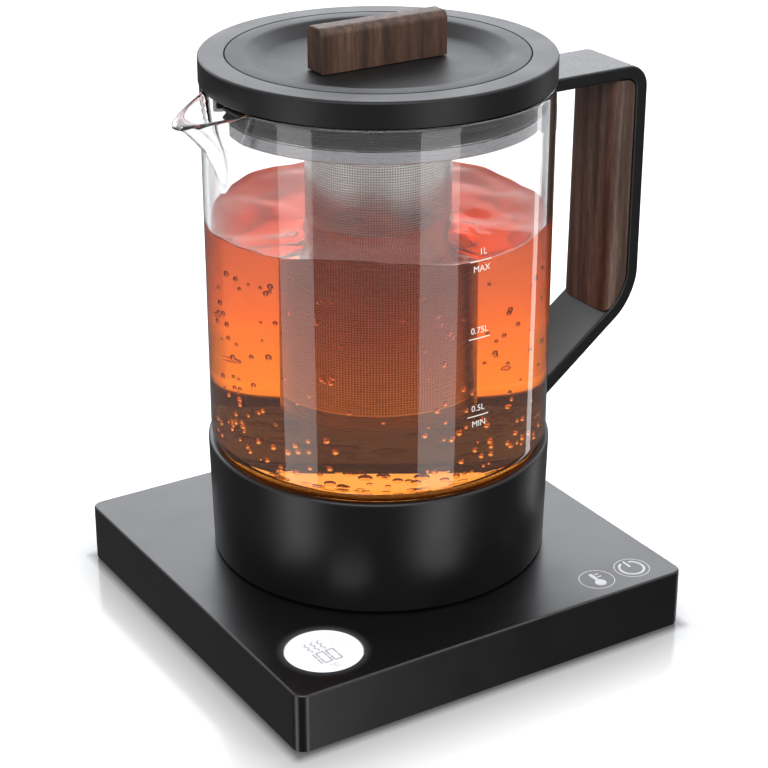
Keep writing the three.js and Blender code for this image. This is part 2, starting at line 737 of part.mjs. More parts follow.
function handleStrap() {
  const strap = upright(strapOutline(GLASS_RADIUS, GLASS_RADIUS - 1), HANDLE_WIDTH, STRAP_EDGE);
  const glassSide = GLASS_RADIUS + 2 * GAP;
  const seat = turned([
    [0, 0],
    [SHELL_LOW_RADIUS + GAP, 0],
    [SHELL_TOP_RADIUS + GAP, SHELL_HEIGHT - 1],
    [glassSide, SHELL_HEIGHT + 3 * GAP],
    [glassSide, PAD.low - GAP],
    [PAD.outer + GAP, PAD.low - GAP],
    [PAD.outer + GAP, RIM_HEIGHT],
    [0, RIM_HEIGHT],
  ]);
  const { reach, width, low, high } = TENON;
  const mortise = block(reach + GAP, width + 2 * GAP, low - GAP, high + GAP);
  const rooms = [...gripScrewRooms(), ...footScrewRooms(), tenonScrewRoom()];
  return cut(join(strap, handleLug()), seat, mortise.translate((reach + GAP) / 2, 0, 0), ...rooms);
}

// Curved pad bonded to the glass under the rim, with a tongue that the strap's top arm slides over.
function handleBracket() {
  const { inner, outer, halfAngle, low, high } = PAD;
  const pad = sector(inner, outer, 0, halfAngle, low, high);
  const root = sector(inner, outer, 0, PAD_ROOT.halfAngle, PAD_ROOT.low, STRAP_TOP);
  const start = outer - OVERRUN;
  const tongue = block(TENON.reach - start, TENON.width, TENON.low, TENON.high);
  return cut(join(pad, root, tongue.translate((TENON.reach + start) / 2, 0, 0)), tenonScrewRoom());
}

function tenonScrewRoom() {
  return screwRoom(TENON_SCREW).translate(TENON.screwX, 0, 0);
}

function gripScrewRooms() {
  const start = HANDLE_REACH - SCREW_SINK;
  return GRIP_SCREWS.map(({ height }) => tipped(screwRoom(GRIP_SCREW), start, 0, height));
}

function footScrewPlaces() {
  const start = HANDLE_FOOT.outer - SCREW_SINK;
  return [-1, 1].map((side) => [start, side * FOOT_SCREW_SPREAD, FOOT_SCREW_HEIGHT]);
}

function footScrewRooms() {
  return footScrewPlaces().map((place) => tipped(screwRoom(FOOT_SCREW), ...place));
}

// Walnut insert behind the upright: a bar with two rounded edges, its lower end following the bend.
function handleGrip() {
  const outer = HANDLE_REACH - STRAP_THICK - GAP;
  const bendX = HANDLE_REACH - STRAP_BEND;
  const bend = STRAP_BEND - STRAP_THICK - GAP;
  const top = STRAP_TOP - STRAP_ARM_THICK - GAP;
  const corner = STRAP_INNER_CORNER - GAP;
  const side = new THREE.Shape();
  side.moveTo(GRIP_FACE, top);
  side.lineTo(GRIP_FACE, slopeHeight(bend, GRIP_FACE));
  side.absarc(bendX, STRAP_BEND_HEIGHT, bend, STRAP_SLOPE - Math.PI / 2, 0, false);
  side.absarc(outer - corner, top - corner, corner, 0, Math.PI / 2, false);
  side.closePath();
  const half = HANDLE_WIDTH / 2 - GAP;
  const edgeX = GRIP_FACE + GRIP_EDGE;
  const plan = new THREE.Shape();
  plan.moveTo(outer + OVERRUN, -half);
  plan.lineTo(outer + OVERRUN, half);
  plan.absarc(edgeX, half - GRIP_EDGE, GRIP_EDGE, Math.PI / 2, Math.PI, false);
  plan.absarc(edgeX, GRIP_EDGE - half, GRIP_EDGE, Math.PI, 1.5 * Math.PI, false);
  plan.closePath();
  const bar = raised(plan, 0, RIM_HEIGHT, 0, 6);
  return cut(overlap(upright(side, HANDLE_WIDTH), bar), ...gripScrewRooms());
}

function buildJug() {
  const jug = new THREE.Group();
  const add = (name, geometry, finish) => jug.add(piece(name, geometry, finishOf(finish)));
  const underRoof = SOCKET_ROOF - GAP;
  add("jug_base_shell", jugBaseShell(), "satinBlack");
  add("jug_base_cover", jugBaseCover(), "innerBlack");
  placed(JUG_SCREW_PLACES, () => screw(JUG_SCREW)).forEach((shape, i) => {
    add(`jug_cover_screw_${i + 1}`, shape, "steel");
  });
  add("jug_connector", jugConnector(), "innerBlack");
  add("jug_contact_ring", collar(7.1, 7.9, CONTACT_LOW, underRoof, HIDDEN_ROUND), "brass");
  add("jug_contact_pin", rod(1.4, CONTACT_LOW, underRoof, TINY_ROUND), "brass");
  const sensorHigh = FLOOR_UNDER - GAP;
  add("temperature_sensor", rod(SENSOR.radius, sensorHigh - SENSOR.thick, sensorHigh), "steel");
  add("heating_element", heatingElement(), "steel");
  add("heater_plate", heaterPlate(), "steel");
  add("floor_seal", floorSeal(), "silicone");
  jug.add(piece("glass_body", glassBody(), glassFinish()));
  add("handle_bracket", handleBracket(), "strapBlack");
  add("handle_strap", handleStrap(), "strapBlack");
  add("handle_grip", handleGrip(), "walnutGrip");
  add("bracket_screw", screw(TENON_SCREW).translate(TENON.screwX, 0, 0), "steel");
  GRIP_SCREWS.forEach(({ name, height }) => {
    add(name, tipped(screw(GRIP_SCREW), HANDLE_REACH - SCREW_SINK, 0, height), "steel");
  });
  footScrewPlaces().forEach((place, i) => {
    add(`handle_foot_screw_${i + 1}`, tipped(screw(FOOT_SCREW), ...place), "steel");
  });
  return jug;
}

// Lid

const GROOVE = { floor: 51.7, low: 157.3, high: 161.7 };
const SKIRT_SLOPE_END = 161.5;
const LEDGE_THICK = 2;
const SEAL = { inner: 52, lip: 54.6, waist: SKIRT_RADIUS + 0.4, lipThick: 0.8 };
const BAND = { inner: 49.6, sheet: 1, edge: 0.4 };

// The gap on the spout's side, where the tea pours.
function pourCut(inner, outer, low, high) {
  return sector(inner, outer, POUR_AZIMUTH, POUR_HALF_ANGLE, low, high);
}

// The outer lid: a flange on the rim, a skirt in the glass with a seal groove, and an inner ledge.
function lidRing() {
  const seat = RIM_HEIGHT + GAP;
  const ledge = FUNNEL_RADIUS + GAP;
  const whole = ring([
    [SKIRT_INNER, SKIRT_LOW],
    [SKIRT_RADIUS, SKIRT_LOW],
    [SKIRT_RADIUS, GROOVE.low],
    [GROOVE.floor, GROOVE.low],
    [GROOVE.floor, GROOVE.high],
    [SKIRT_RADIUS, GROOVE.high],
    [SKIRT_RADIUS, seat],
    [LID_RADIUS, seat],
    [LID_RADIUS, LID_TOP - LID_EDGE],
    [LID_RADIUS - LID_EDGE, LID_TOP],
    [SEAM_RADIUS + GAP, LID_TOP],
    [SEAM_RADIUS + GAP, LEDGE_HIGH],
    [ledge, LEDGE_HIGH],
    [ledge, LEDGE_HIGH - LEDGE_THICK],
    [SKIRT_INNER, SKIRT_SLOPE_END],
  ]);
  const mouth = pourCut(SKIRT_INNER - 1.4, SKIRT_RADIUS + OVERRUN, SKIRT_LOW - OVERRUN, seat);
  return cut(whole, mouth);
}

// Silicone ring with two lips, in the groove of the skirt, open where the tea pours.
function lidSeal() {
  const { inner, lip, waist, lipThick } = SEAL;
  const low = GROOVE.low + GAP;
  const high = GROOVE.high - GAP;
  const whole = ring([
    [inner, low],
    [lip, low],
    [lip, low + lipThick],
    [waist, (low + high) / 2],
    [lip, high - lipThick],
    [lip, high],
    [inner, high],
  ]);
  return cut(whole, pourCut(inner - OVERRUN, lip + OVERRUN, low - OVERRUN, high + OVERRUN));
}

// Polished steel trim under the skirt: a band and a floor that steadies the funnel.
function lidBand() {
  const { inner, sheet, edge } = BAND;
  const high = SKIRT_LOW - GAP;
  const whole = ring([
    [inner, BAND_LOW],
    [SKIRT_RADIUS - edge, BAND_LOW],
    [SKIRT_RADIUS, BAND_LOW + edge],
    [SKIRT_RADIUS, high],
    [SKIRT_RADIUS - sheet, high],
    [SKIRT_RADIUS - sheet, BAND_LOW + sheet],
    [inner, BAND_LOW + sheet],
  ]);
  return cut(whole, pourCut(inner - OVERRUN, SKIRT_RADIUS + OVERRUN, BAND_LOW - OVERRUN, SKIRT_LOW));
}

function buildLid() {
  const lid = new THREE.Group();
  lid.add(piece("lid_ring", lidRing(), finishOf("lidBlack")));
  lid.add(piece("lid_seal", lidSeal(), finishOf("silicone")));
  lid.add(piece("lid_band", lidBand(), finishOf("steel")));
  return lid;
}

// Infuser

const CONE = { low: 152, start: 154.6, end: 161 };
const FLANGE_LOW = LEDGE_HIGH + GAP;
const FLANGE_HIGH = FLANGE_LOW + FUNNEL_FLANGE;
const KEY_LOW = 163;
const KEY_THICK = 1.4;
const SLEEVE_HIGH = 157;
const CUP = { floor: 0.8, wall: 0.7, height: 5 };
const DRAIN_RADIUS = 2.2;
const DRAIN_RINGS = [{ count: 1, radius: 0 }, { count: 6, radius: 10 }];

// Steel funnel that hangs on the ledge of the lid ring and holds the sleeve. Three notches in its
// upright wall, open above, take the keys of the cover.
function infuserFunnel() {
  const inner = FUNNEL_RADIUS - FUNNEL_SHEET;
  const tube = INFUSER_RADIUS + GAP;
  const rim = SEAM_RADIUS - 0.2;
  const whole = ring([
    [tube, CONE.low],
    [tube + FUNNEL_SHEET, CONE.low],
    [tube + FUNNEL_SHEET, CONE.start],
    [FUNNEL_RADIUS, CONE.end],
    [FUNNEL_RADIUS, FLANGE_LOW],
    [rim, FLANGE_LOW],
    [rim, FLANGE_HIGH],
    [inner, FLANGE_HIGH],
    [inner, CONE.end + FUNNEL_SHEET / 2],
    [tube, CONE.start + FUNNEL_SHEET],
  ]);
  const half = KEY_HALF_ANGLE + 1;
  const low = KEY_LOW - GAP;
  const notches = KEY_AZIMUTHS.map((azimuth) =>
    sector(inner - OVERRUN, FUNNEL_RADIUS, azimuth, half, low, FLANGE_HIGH + OVERRUN, 3));
  return cut(whole, ...notches);
}

function infuserSleeve() {
  return collar(INFUSER_RADIUS - INFUSER_WALL, INFUSER_RADIUS, INFUSER_LOW + 3 * GAP, SLEEVE_HIGH);
}

// Bottom of the infuser: a cup pressed into the sleeve, with a flange under it and drain holes.
function infuserBase() {
  const outer = INFUSER_RADIUS - INFUSER_WALL - GAP;
  const inner = outer - CUP.wall;
  const seat = INFUSER_LOW + 2 * GAP;
  const floor = INFUSER_LOW + CUP.floor;
  const high = INFUSER_LOW + CUP.height;
  const cup = turned([
    [0, INFUSER_LOW],
    [INFUSER_RADIUS, INFUSER_LOW],
    [INFUSER_RADIUS, seat],
    [outer, seat],
    [outer, high],
    [inner, high],
    [inner, floor],
    [0, floor],
  ], HIDDEN_ROUND);
  const drain = () => rod(DRAIN_RADIUS, INFUSER_LOW - OVERRUN, floor + OVERRUN, 6);
  const holes = DRAIN_RINGS.flatMap(({ count, radius }) => {
    const azimuths = Array.from({ length: count }, (_, i) => (360 * i) / count);
    return placed(onCircle(azimuths, radius), drain);
  });
  return cut(cup, ...holes);
}

function buildInfuser() {
  const infuser = new THREE.Group();
  infuser.add(piece("infuser_funnel", infuserFunnel(), finishOf("steel")));
  infuser.add(piece("infuser_sleeve", infuserSleeve(), finishOf("steel")));
  infuser.add(piece("infuser_base", infuserBase(), finishOf("steel")));
  return infuser;
}

// Cover

const COVER_SKIRT = { outer: FUNNEL_RADIUS - FUNNEL_SHEET - GAP, wall: 1.6, low: 162.4 };
const COVER_EDGE = 0.4;
const DISH_STEPS = 4;
const DISH_EASE = { rim: 2.4, drop: 0.3, floor: 2.6 };
const KNOB_SHOULDER = 1.4;
const KNOB_SCREW_PLACES = [{ x: -14, y: 0 }, { x: 14, y: 0 }];

// The inner lid: a dished plate, and a skirt with three keys that drop into notches of the funnel.
function lidCover() {
  const floor = LID_TOP - DISH_DEPTH;
  const under = floor - DISH_SKIN;
  const seat = FLANGE_HIGH + GAP;
  const { outer, wall, low } = COVER_SKIRT;
  const { rim, drop, floor: ease } = DISH_EASE;
  const slope = new THREE.CubicBezierCurve(
    new THREE.Vector2(DISH_RADIUS, LID_TOP),
    new THREE.Vector2(DISH_RADIUS - rim, LID_TOP - drop),
    new THREE.Vector2(DISH_FLOOR_RADIUS + ease, floor),
    new THREE.Vector2(DISH_FLOOR_RADIUS, floor),
  );
  const plate = turned([
    [0, under],
    [outer - wall, under],
    [outer - wall, low],
    [outer, low],
    [outer, seat],
    [SEAM_RADIUS, seat],
    [SEAM_RADIUS, LID_TOP - COVER_EDGE],
    [SEAM_RADIUS - COVER_EDGE, LID_TOP],
    ...slope.getPoints(DISH_STEPS).map((point) => [point.x, point.y]),
    [0, floor],
  ]);
  const keys = KEY_AZIMUTHS.map((azimuth) => {
    const reach = FUNNEL_RADIUS - GAP;
    return sector(outer - OVERRUN, reach, azimuth, KEY_HALF_ANGLE, KEY_LOW, KEY_LOW + KEY_THICK, 3);
  });
  return cut(join(plate, ...keys), ...placed(KNOB_SCREW_PLACES, () => screwRoom(KNOB_SCREW)));
}

// Walnut bar across the dish: flat sides, a low arch along the top and softly broken edges.
function lidKnob() {
  const half = KNOB_WIDTH / 2;
  const low = LID_TOP - DISH_DEPTH + GAP;
  const high = low + KNOB_HEIGHT;
  const shoulder = high - KNOB_ARCH;
  const section = new THREE.Shape();
  section.moveTo(-half, low);
  section.lineTo(half, low);
  section.lineTo(half, shoulder);
  section.bezierCurveTo(half, high, half - KNOB_SHOULDER, high, 0, high);
  section.bezierCurveTo(KNOB_SHOULDER - half, high, -half, high, -half, shoulder);
  section.closePath();
  const bar = raised(section, -KNOB_LENGTH / 2, KNOB_LENGTH / 2, KNOB_EDGE);
  const along = bar.rotateX(Math.PI / 2).rotateZ(Math.PI / 2);
  return cut(along, ...placed(KNOB_SCREW_PLACES, () => screwRoom(KNOB_SCREW)));
}

function buildCover() {
  const cover = new THREE.Group();
  cover.add(piece("lid_cover", lidCover(), finishOf("lidBlack")));
  cover.add(piece("lid_knob", lidKnob(), finishOf("walnut")));
  placed(KNOB_SCREW_PLACES, () => screw(KNOB_SCREW)).forEach((shape, i) => {
    cover.add(piece(`knob_screw_${i + 1}`, shape, finishOf("steel")));
  });
  return cover;
}

// Assembly: the box from the plate's left edge to the handle is centred on the origin.
const plateX = (PLATE_SIDE / 2 - JUG_X - HANDLE_REACH) / 2;
const kettle = new THREE.Group();
const base = buildBase();
base.position.x = plateX;
kettle.add(base);

const onAxis = new THREE.Group();
onAxis.position.set(plateX + JUG_X, JUG_Y, PLATE_TOP);
onAxis.add(buildJug(), buildLid(), buildInfuser(), buildCover());
kettle.add(onAxis);

export default kettle;
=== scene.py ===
"""Glass tea kettle on its powered base: finished surfaces, finishes, light and camera.

Sizes are in millimetres and become metres when a piece is set in its place. Heights of the jug,
lid, infuser and cover count from the top of the base plate, heights of the base from the table.
"""

import logging
import math
import random
from dataclasses import dataclass, field
from enum import Enum
from typing import Any, ClassVar

import bmesh
import bpy
from bmesh.types import BMesh
from mathutils import Matrix, Vector, noise


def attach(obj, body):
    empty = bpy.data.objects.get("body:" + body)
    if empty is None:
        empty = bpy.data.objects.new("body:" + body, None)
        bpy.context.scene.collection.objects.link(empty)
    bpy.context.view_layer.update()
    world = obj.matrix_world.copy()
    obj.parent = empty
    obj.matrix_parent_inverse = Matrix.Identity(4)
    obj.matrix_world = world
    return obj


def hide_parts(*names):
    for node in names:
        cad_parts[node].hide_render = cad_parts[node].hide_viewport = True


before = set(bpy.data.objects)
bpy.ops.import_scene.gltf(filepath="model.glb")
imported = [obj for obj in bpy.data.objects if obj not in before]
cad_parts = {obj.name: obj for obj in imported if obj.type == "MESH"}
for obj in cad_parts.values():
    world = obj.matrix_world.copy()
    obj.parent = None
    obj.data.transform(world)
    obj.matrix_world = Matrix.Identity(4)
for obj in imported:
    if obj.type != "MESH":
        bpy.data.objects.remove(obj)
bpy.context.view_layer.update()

LOG = logging.getLogger("kettle")
MM = 0.001
PLATE_CENTRE = Vector((-13.38, 0.0, 0.0))
JUG_AXIS = Vector((-11.02, 3.57, 21.3))
DIAL_CENTRE = Vector((-67.78, -55.3, 21.3))
DIAL_RADIUS = 12.5
# Azimuth of the side of the jug that faces the camera.
CAMERA_TURN = -121.7
# Points of a mesh that lie closer than this are one point.
WELD = 1e-4
# Angles in degrees up to which edges are shaded smooth, on moulded, printed and round pieces.
MOULD_SMOOTH = 32.0
PRINT_SMOOTH = 10.0
ROUND_SMOOTH = 60.0

Corner = tuple[float, ...]
Places = list[tuple[float, float]]
Stops = tuple[tuple[float, str], ...]


class Body(Enum):
    """Bodies of the assembly that pieces ride on."""

    BASE = "base"
    JUG = "jug"
    LID = "lid"
    INFUSER = "infuser"
    COVER = "cover"


# Materials


def linear(colour: str) -> tuple[float, float, float, float]:
    """Turns an sRGB hex colour into linear light.

    Args:
        colour: six hex digits after a hash sign.

    Returns:
        Red, green, blue and an alpha of one.
    """
    shares = [int(colour[i : i + 2], 16) / 255 for i in (1, 3, 5)]
    light = [s / 12.92 if s <= 0.04045 else ((s + 0.055) / 1.055) ** 2.4 for s in shares]
    return (light[0], light[1], light[2], 1.0)


@dataclass
class Nodes:
    """The nodes of one tree, which starts empty."""

    tree: bpy.types.NodeTree

    def __post_init__(self) -> None:
        """Empties the tree."""
        self.tree.nodes.clear()

    def add(
        self,
        kind: str,
        inputs: dict[Any, Any] | None = None,
        stops: Stops = (),
        **settings: str,
    ) -> Any:
        """Adds a node with its settings and links.

        Args:
            kind: type name of the node, without the words that all of them start with.
            inputs: input names or numbers, each with a value, a hex colour or the socket that
                feeds it.
            stops: places from 0 to 1 with their hex colours, for a node with a colour ramp.
            settings: property names and their values.

        Returns:
            The outputs of the new node.
        """
        node = self.tree.nodes.new("ShaderNode" + kind)
        for name, value in settings.items():
            setattr(node, name, value)
        for key, value in (inputs or {}).items():
            if isinstance(value, bpy.types.NodeSocket):
                self.tree.links.new(value, node.inputs[key])
            else:
                node.inputs[key].default_value = linear(value) if isinstance(value, str) else value
        while stops and len(node.color_ramp.elements) < len(stops):
            node.color_ramp.elements.new(0.5)
        for i, (place, colour) in enumerate(stops):
            node.color_ramp.elements[i].position = place
            node.color_ramp.elements[i].color = linear(colour)
        return node.outputs

    def about_axis(self) -> Any:
        """Adds coordinates that count from the jug's axis and returns their output."""
        place = {"Vector": self.add("TexCoord")["Object"], "Location": -JUG_AXIS * MM}
        return self.add("Mapping", place)["Vector"]

    def grain(self, size: Corner, detail: float = 3.0) -> Any:
        """Adds noise whose marks have a real size along each axis.

        Args:
            size: length of a mark along X, Y and Z, in millimetres.
            detail: octaves of the noise.

        Returns:
            The output that carries the noise.
        """
        scale = tuple(1 / (MM * length) for length in size)
        place = self.add("Mapping", {"Vector": self.add("TexCoord")["Object"], "Scale": scale})
        noisy = {"Vector": place["Vector"], "Scale": 1.0, "Detail": detail}
        return self.add("TexNoise", noisy)["Fac"]

    def spread(self, noisy: Any, low: float, high: float) -> Any:
        """Maps the middle of a noise onto a range and returns the output."""
        middle = {"Value": noisy, "From Min": 0.3, "From Max": 0.7, "To Min": low, "To Max": high}
        return self.add("MapRange", middle)["Result"]

    def marked(self, marks: Any, strength: float, depth: float, look: dict[str, Any]) -> Any:
        """Adds a surface with marks pressed into it.

        Args:
            marks: output with the height of the marks.
            strength: share of their relief that shows.
            depth: their depth, in millimetres.
            look: the surface's other inputs and their values.

        Returns:
            The shader's output.
        """
        relief = {"Height": marks, "Strength": strength, "Distance": depth * MM}
        normal = self.add("Bump", relief)["Normal"]
        return self.add("BsdfPrincipled", {**look, "Normal": normal})["BSDF"]

    def refracting(self, colour: Any, ior: float, tint: str, clear: Any = 1.0) -> Any:
        """Adds a smooth clear surface that lets lamp light pass straight to what is behind it.

        Args:
            colour: hex colour, or an output with the colour.
            ior: index of refraction.
            tint: hex colour of the light that passes.
            clear: share of the light that is let into the piece.

        Returns:
            The shader's output.
        """
        look = {"Base Color": colour, "Roughness": 0.0, "IOR": ior, "Transmission Weight": clear}
        ways = {
            0: self.add("LightPath")["Is Shadow Ray"],
            1: self.add("BsdfPrincipled", look)["BSDF"],
            2: self.add("BsdfTransparent", {"Color": tint})["BSDF"],
        }
        return self.add("MixShader", ways)["Shader"]


@dataclass(frozen=True)
class Finish:
    """A finish: its fields describe the surface, and it makes one material."""

    name: str

    def build(self) -> bpy.types.Material:
        """Makes the material.

        Returns:
            The material, with its nodes.
        """
        material = bpy.data.materials.new(self.name)
        material.use_nodes = True
        nodes = Nodes(material.node_tree)
        nodes.add("OutputMaterial", {"Surface": self.surface(nodes)})
        return material

    def surface(self, nodes: Nodes) -> Any:
        """Adds the nodes of the surface.

        Args:
            nodes: the material's nodes, none so far.

        Returns:
            The shader's output.
        """
        raise NotImplementedError


@dataclass(frozen=True)
class SparkedPlastic(Finish):
    """ABS moulded in a spark-eroded tool: an even satin black with a very fine pebble in it."""

    colour: str
    roughness: float
    ior: float = 1.5
    # Real spark texture is about 0.05 mm; it is drawn at 0.5 mm so that a pixel can hold it.
    pebble: float = 0.5
    depth: float = 0.02
    cloud: float = 14.0

    def surface(self, nodes: Nodes) -> Any:
        """Adds the satin black with its pebble and a slow change of sheen.

        Args:
            nodes: the material's nodes.

        Returns:
            The shader's output.
        """
        cloud = nodes.grain((self.cloud,) * 3, 2.0)
        look = {
            "Base Color": self.colour,
            "Roughness": nodes.spread(cloud, self.roughness - 0.025, self.roughness + 0.025),
            "IOR": self.ior,
        }
        return nodes.marked(nodes.grain((self.pebble,) * 3), 0.25, self.depth, look)


@dataclass(frozen=True)
class LitPlate(SparkedPlastic):
    """The same black ABS with a painted glow for the faint ring of light that the lit dial throws
    on it.
    """

    reach: float = 3.8
    # Painted glow: emission in the plastic stands in for the dial's light falling on it.
    painted_glow: float = 0.06

    def surface(self, nodes: Nodes) -> Any:
        """Adds the plastic and the painted glow of the ring of light round the dial.

        Args:
            nodes: the material's nodes.

        Returns:
            The shader's output.
        """
        shader = super().surface(nodes)
        place = {0: nodes.add("TexCoord")["Object"], 1: DIAL_CENTRE * MM}
        fade = {
            "Value": nodes.add("VectorMath", place, operation="DISTANCE")["Value"],
            "From Min": (DIAL_RADIUS - 1) * MM,
            "From Max": (DIAL_RADIUS + self.reach) * MM,
            "To Min": self.painted_glow,
            "To Max": 0.0,
        }
        ring = nodes.add("MapRange", fade, interpolation_type="SMOOTHERSTEP")["Result"]
        shader.node.inputs["Emission Color"].default_value = linear("#f4f4ff")
        nodes.tree.links.new(ring, shader.node.inputs["Emission Strength"])
        return shader


@dataclass(frozen=True)
class PowderCoat(Finish):
    """Steel strip with a fine black powder coat: satin, with slight orange peel from baking."""

    name: str = "powder_coated_strap"
    colour: str = "#0b0b0d"
    roughness: float = 0.4
    peel: float = 1.1

    def surface(self, nodes: Nodes) -> Any:
        """Adds the satin coat with its orange peel.

        Args:
            nodes: the material's nodes.

        Returns:
            The shader's output.
        """
        peel = nodes.grain((self.peel,) * 3, 2.0)
        satin = nodes.spread(peel, self.roughness - 0.03, self.roughness + 0.03)
        look = {"Base Color": self.colour, "Roughness": satin, "IOR": 1.45}
        return nodes.marked(peel, 0.2, 0.03, look)


@dataclass(frozen=True)
class MatteRubber(Finish):
    """Moulded rubber or silicone: soft, dull and slightly dusty, with no clear highlight."""

    colour: str
    roughness: float = 0.75
    shine: float = 0.5
    dust: float = 0.8

    def surface(self, nodes: Nodes) -> Any:
        """Adds the dull rubber with its dust.

        Args:
            nodes: the material's nodes.

        Returns:
            The shader's output.
        """
        dust = nodes.grain((self.dust,) * 3)
        look = {
            "Base Color": self.colour,
            "Roughness": nodes.spread(dust, self.roughness - 0.06, self.roughness + 0.06),
            "IOR": 1.42,
            "Specular IOR Level": self.shine,
            "Sheen Weight": 0.05,
        }
        return nodes.marked(dust, 0.12, 0.02, look)


@dataclass(frozen=True)
class BrushedMetal(Finish):
    """Sheet metal brushed round its axis: fine parallel lines that stretch each highlight."""

    colour: str
    roughness: float = 0.26
    # Brush lines are about 0.05 mm apart; 0.25 mm is the finest that shows.
    line: float = 0.25
    stroke: float = 9.0

    def surface(self, nodes: Nodes) -> Any:
        """Adds the metal with its brush lines.

        Args:
            nodes: the material's nodes.

        Returns:
            The shader's output.
        """
        lines = nodes.grain((self.stroke, self.stroke, self.line))
        brushed = nodes.spread(lines, self.roughness - 0.07, self.roughness + 0.07)
        look = {"Base Color": self.colour, "Roughness": brushed, "Metallic": 1.0}
        return nodes.marked(lines, 0.15, 0.01, look)


@dataclass(frozen=True)
class BlastedSteel(Finish):
    """Stainless floor, bead-blasted: a pale even frost, with a painted glow that throws light back
    up into the tea.
    """

    name: str = "bead_blasted_stainless"
    colour: str = "#e9e6e2"
    # Bead marks are about 0.1 mm; 0.6 mm is the finest that shows.
    bead: float = 0.6
    # Painted glow: it stands in for the light that the round jug of tea gathers on its floor like a
    # lens.
    gathered_glow: float = 0.9

    def surface(self, nodes: Nodes) -> Any:
        """Adds the frosted steel with the painted glow of the light that it gathers.

        Args:
            nodes: the material's nodes.

        Returns:
            The shader's output.
        """
        marks = nodes.grain((self.bead,) * 3)
        look = {
            "Base Color": self.colour,
            "Roughness": nodes.spread(marks, 0.5, 0.62),
            "Metallic": 0.15,
            "Emission Color": "#fff1e0",
            "Emission Strength": self.gathered_glow,
        }
        return nodes.marked(marks, 0.3, 0.03, look)


@dataclass(frozen=True)
class PerforatedSteel(BrushedMetal):
    """Stainless sheet with rows of round holes: it reads as a fine screen of dark dots."""

    # The holes are about 0.75 mm apart; 0.85 mm is the closest that stays clear of moire.
    pitch: float = 0.85
    hole: float = 0.33
    # The inside of the narrow sleeve is in shade, so a hole is mostly painted dark, as painted
    # shade.
    shade: float = 0.7
    low: float = 60.2
    high: float = 149.0
    radius: float = 24.0

    def surface(self, nodes: Nodes) -> Any:
        """Adds the sheet with painted shade in each hole, which stays partly clear.

        Args:
            nodes: the material's nodes.

        Returns:
            The shader's output.
        """
        clear = nodes.add("BsdfTransparent")["BSDF"]
        # Painted shade: a dark sheet stands in each hole for the dim inside of the sleeve.
        painted_hole_shade = nodes.add("BsdfPrincipled", {"Base Color": "#161211"})["BSDF"]
        through = nodes.add("MixShader", {0: self.shade, 1: clear, 2: painted_hole_shade})["Shader"]
        sheet = super().surface(nodes)
        return nodes.add("MixShader", {0: self.holes(nodes), 1: sheet, 2: through})["Shader"]

    def holes(self, nodes: Nodes) -> Any:
        """Adds the hole pattern: a square grid wrapped round the sleeve.

        Args:
            nodes: the material's nodes.

        Returns:
            An output that is one in a hole and zero on the sheet.
        """
        axes = nodes.add("SeparateXYZ", {0: nodes.about_axis()})
        found = {axis: axes[axis] for axis in "XYZ"}
        around = round(2 * math.pi * self.radius / self.pitch)
        steps: tuple[tuple[Any, ...], ...] = (
            ("turn", "ARCTAN2", "Y", "X"),
            ("column", "MULTIPLY", "turn", around / (2 * math.pi)),
            ("column", "ADD", "column", float(around)),
            ("column", "FRACT", "column"),
            ("across", "SUBTRACT", "column", 0.5),
            ("across", "MULTIPLY", "across", "across"),
            ("row", "DIVIDE", "Z", self.pitch * MM),
            ("row", "FRACT", "row"),
            ("along", "SUBTRACT", "row", 0.5),
            ("along", "MULTIPLY", "along", "along"),
            ("square", "ADD", "across", "along"),
            ("inside", "LESS_THAN", "square", self.hole**2),
            ("above", "GREATER_THAN", "Z", self.low * MM),
            ("below", "LESS_THAN", "Z", self.high * MM),
            ("between", "MULTIPLY", "above", "below"),
            ("hole", "MULTIPLY", "inside", "between"),
        )
        for name, operation, *terms in steps:
            inputs = {i: found.get(term, term) for i, term in enumerate(terms)}
            found[name] = nodes.add("Math", inputs, operation=operation)["Value"]
        return found["hole"]


@dataclass(frozen=True)
class ClearGlass(Finish):
    """Borosilicate tube, flame-polished: colourless, with painted shade that greys it only where it
    is seen edge-on.
    """

    name: str = "borosilicate_glass"
    # Grey that is painted where the glass is seen edge-on, as painted shade.
    edge: str = "#2a2d2e"
    ior: float = 1.47

    def surface(self, nodes: Nodes) -> Any:
        """Adds the glass, with painted shade that greys it the more it is seen edge-on.

        Args:
            nodes: the material's nodes.

        Returns:
            The shader's output.
        """
        facing = nodes.add("LayerWeight", {"Blend": 0.5})["Facing"]
        stops = ((0.0, "#ffffff"), (0.6, "#f6f8f8"), (0.84, "#a4a9aa"), (1.0, self.edge))
        tone = nodes.add("ValToRGB", {"Fac": facing}, stops)["Color"]
        return nodes.refracting(tone, self.ior, "#f2f4f4")


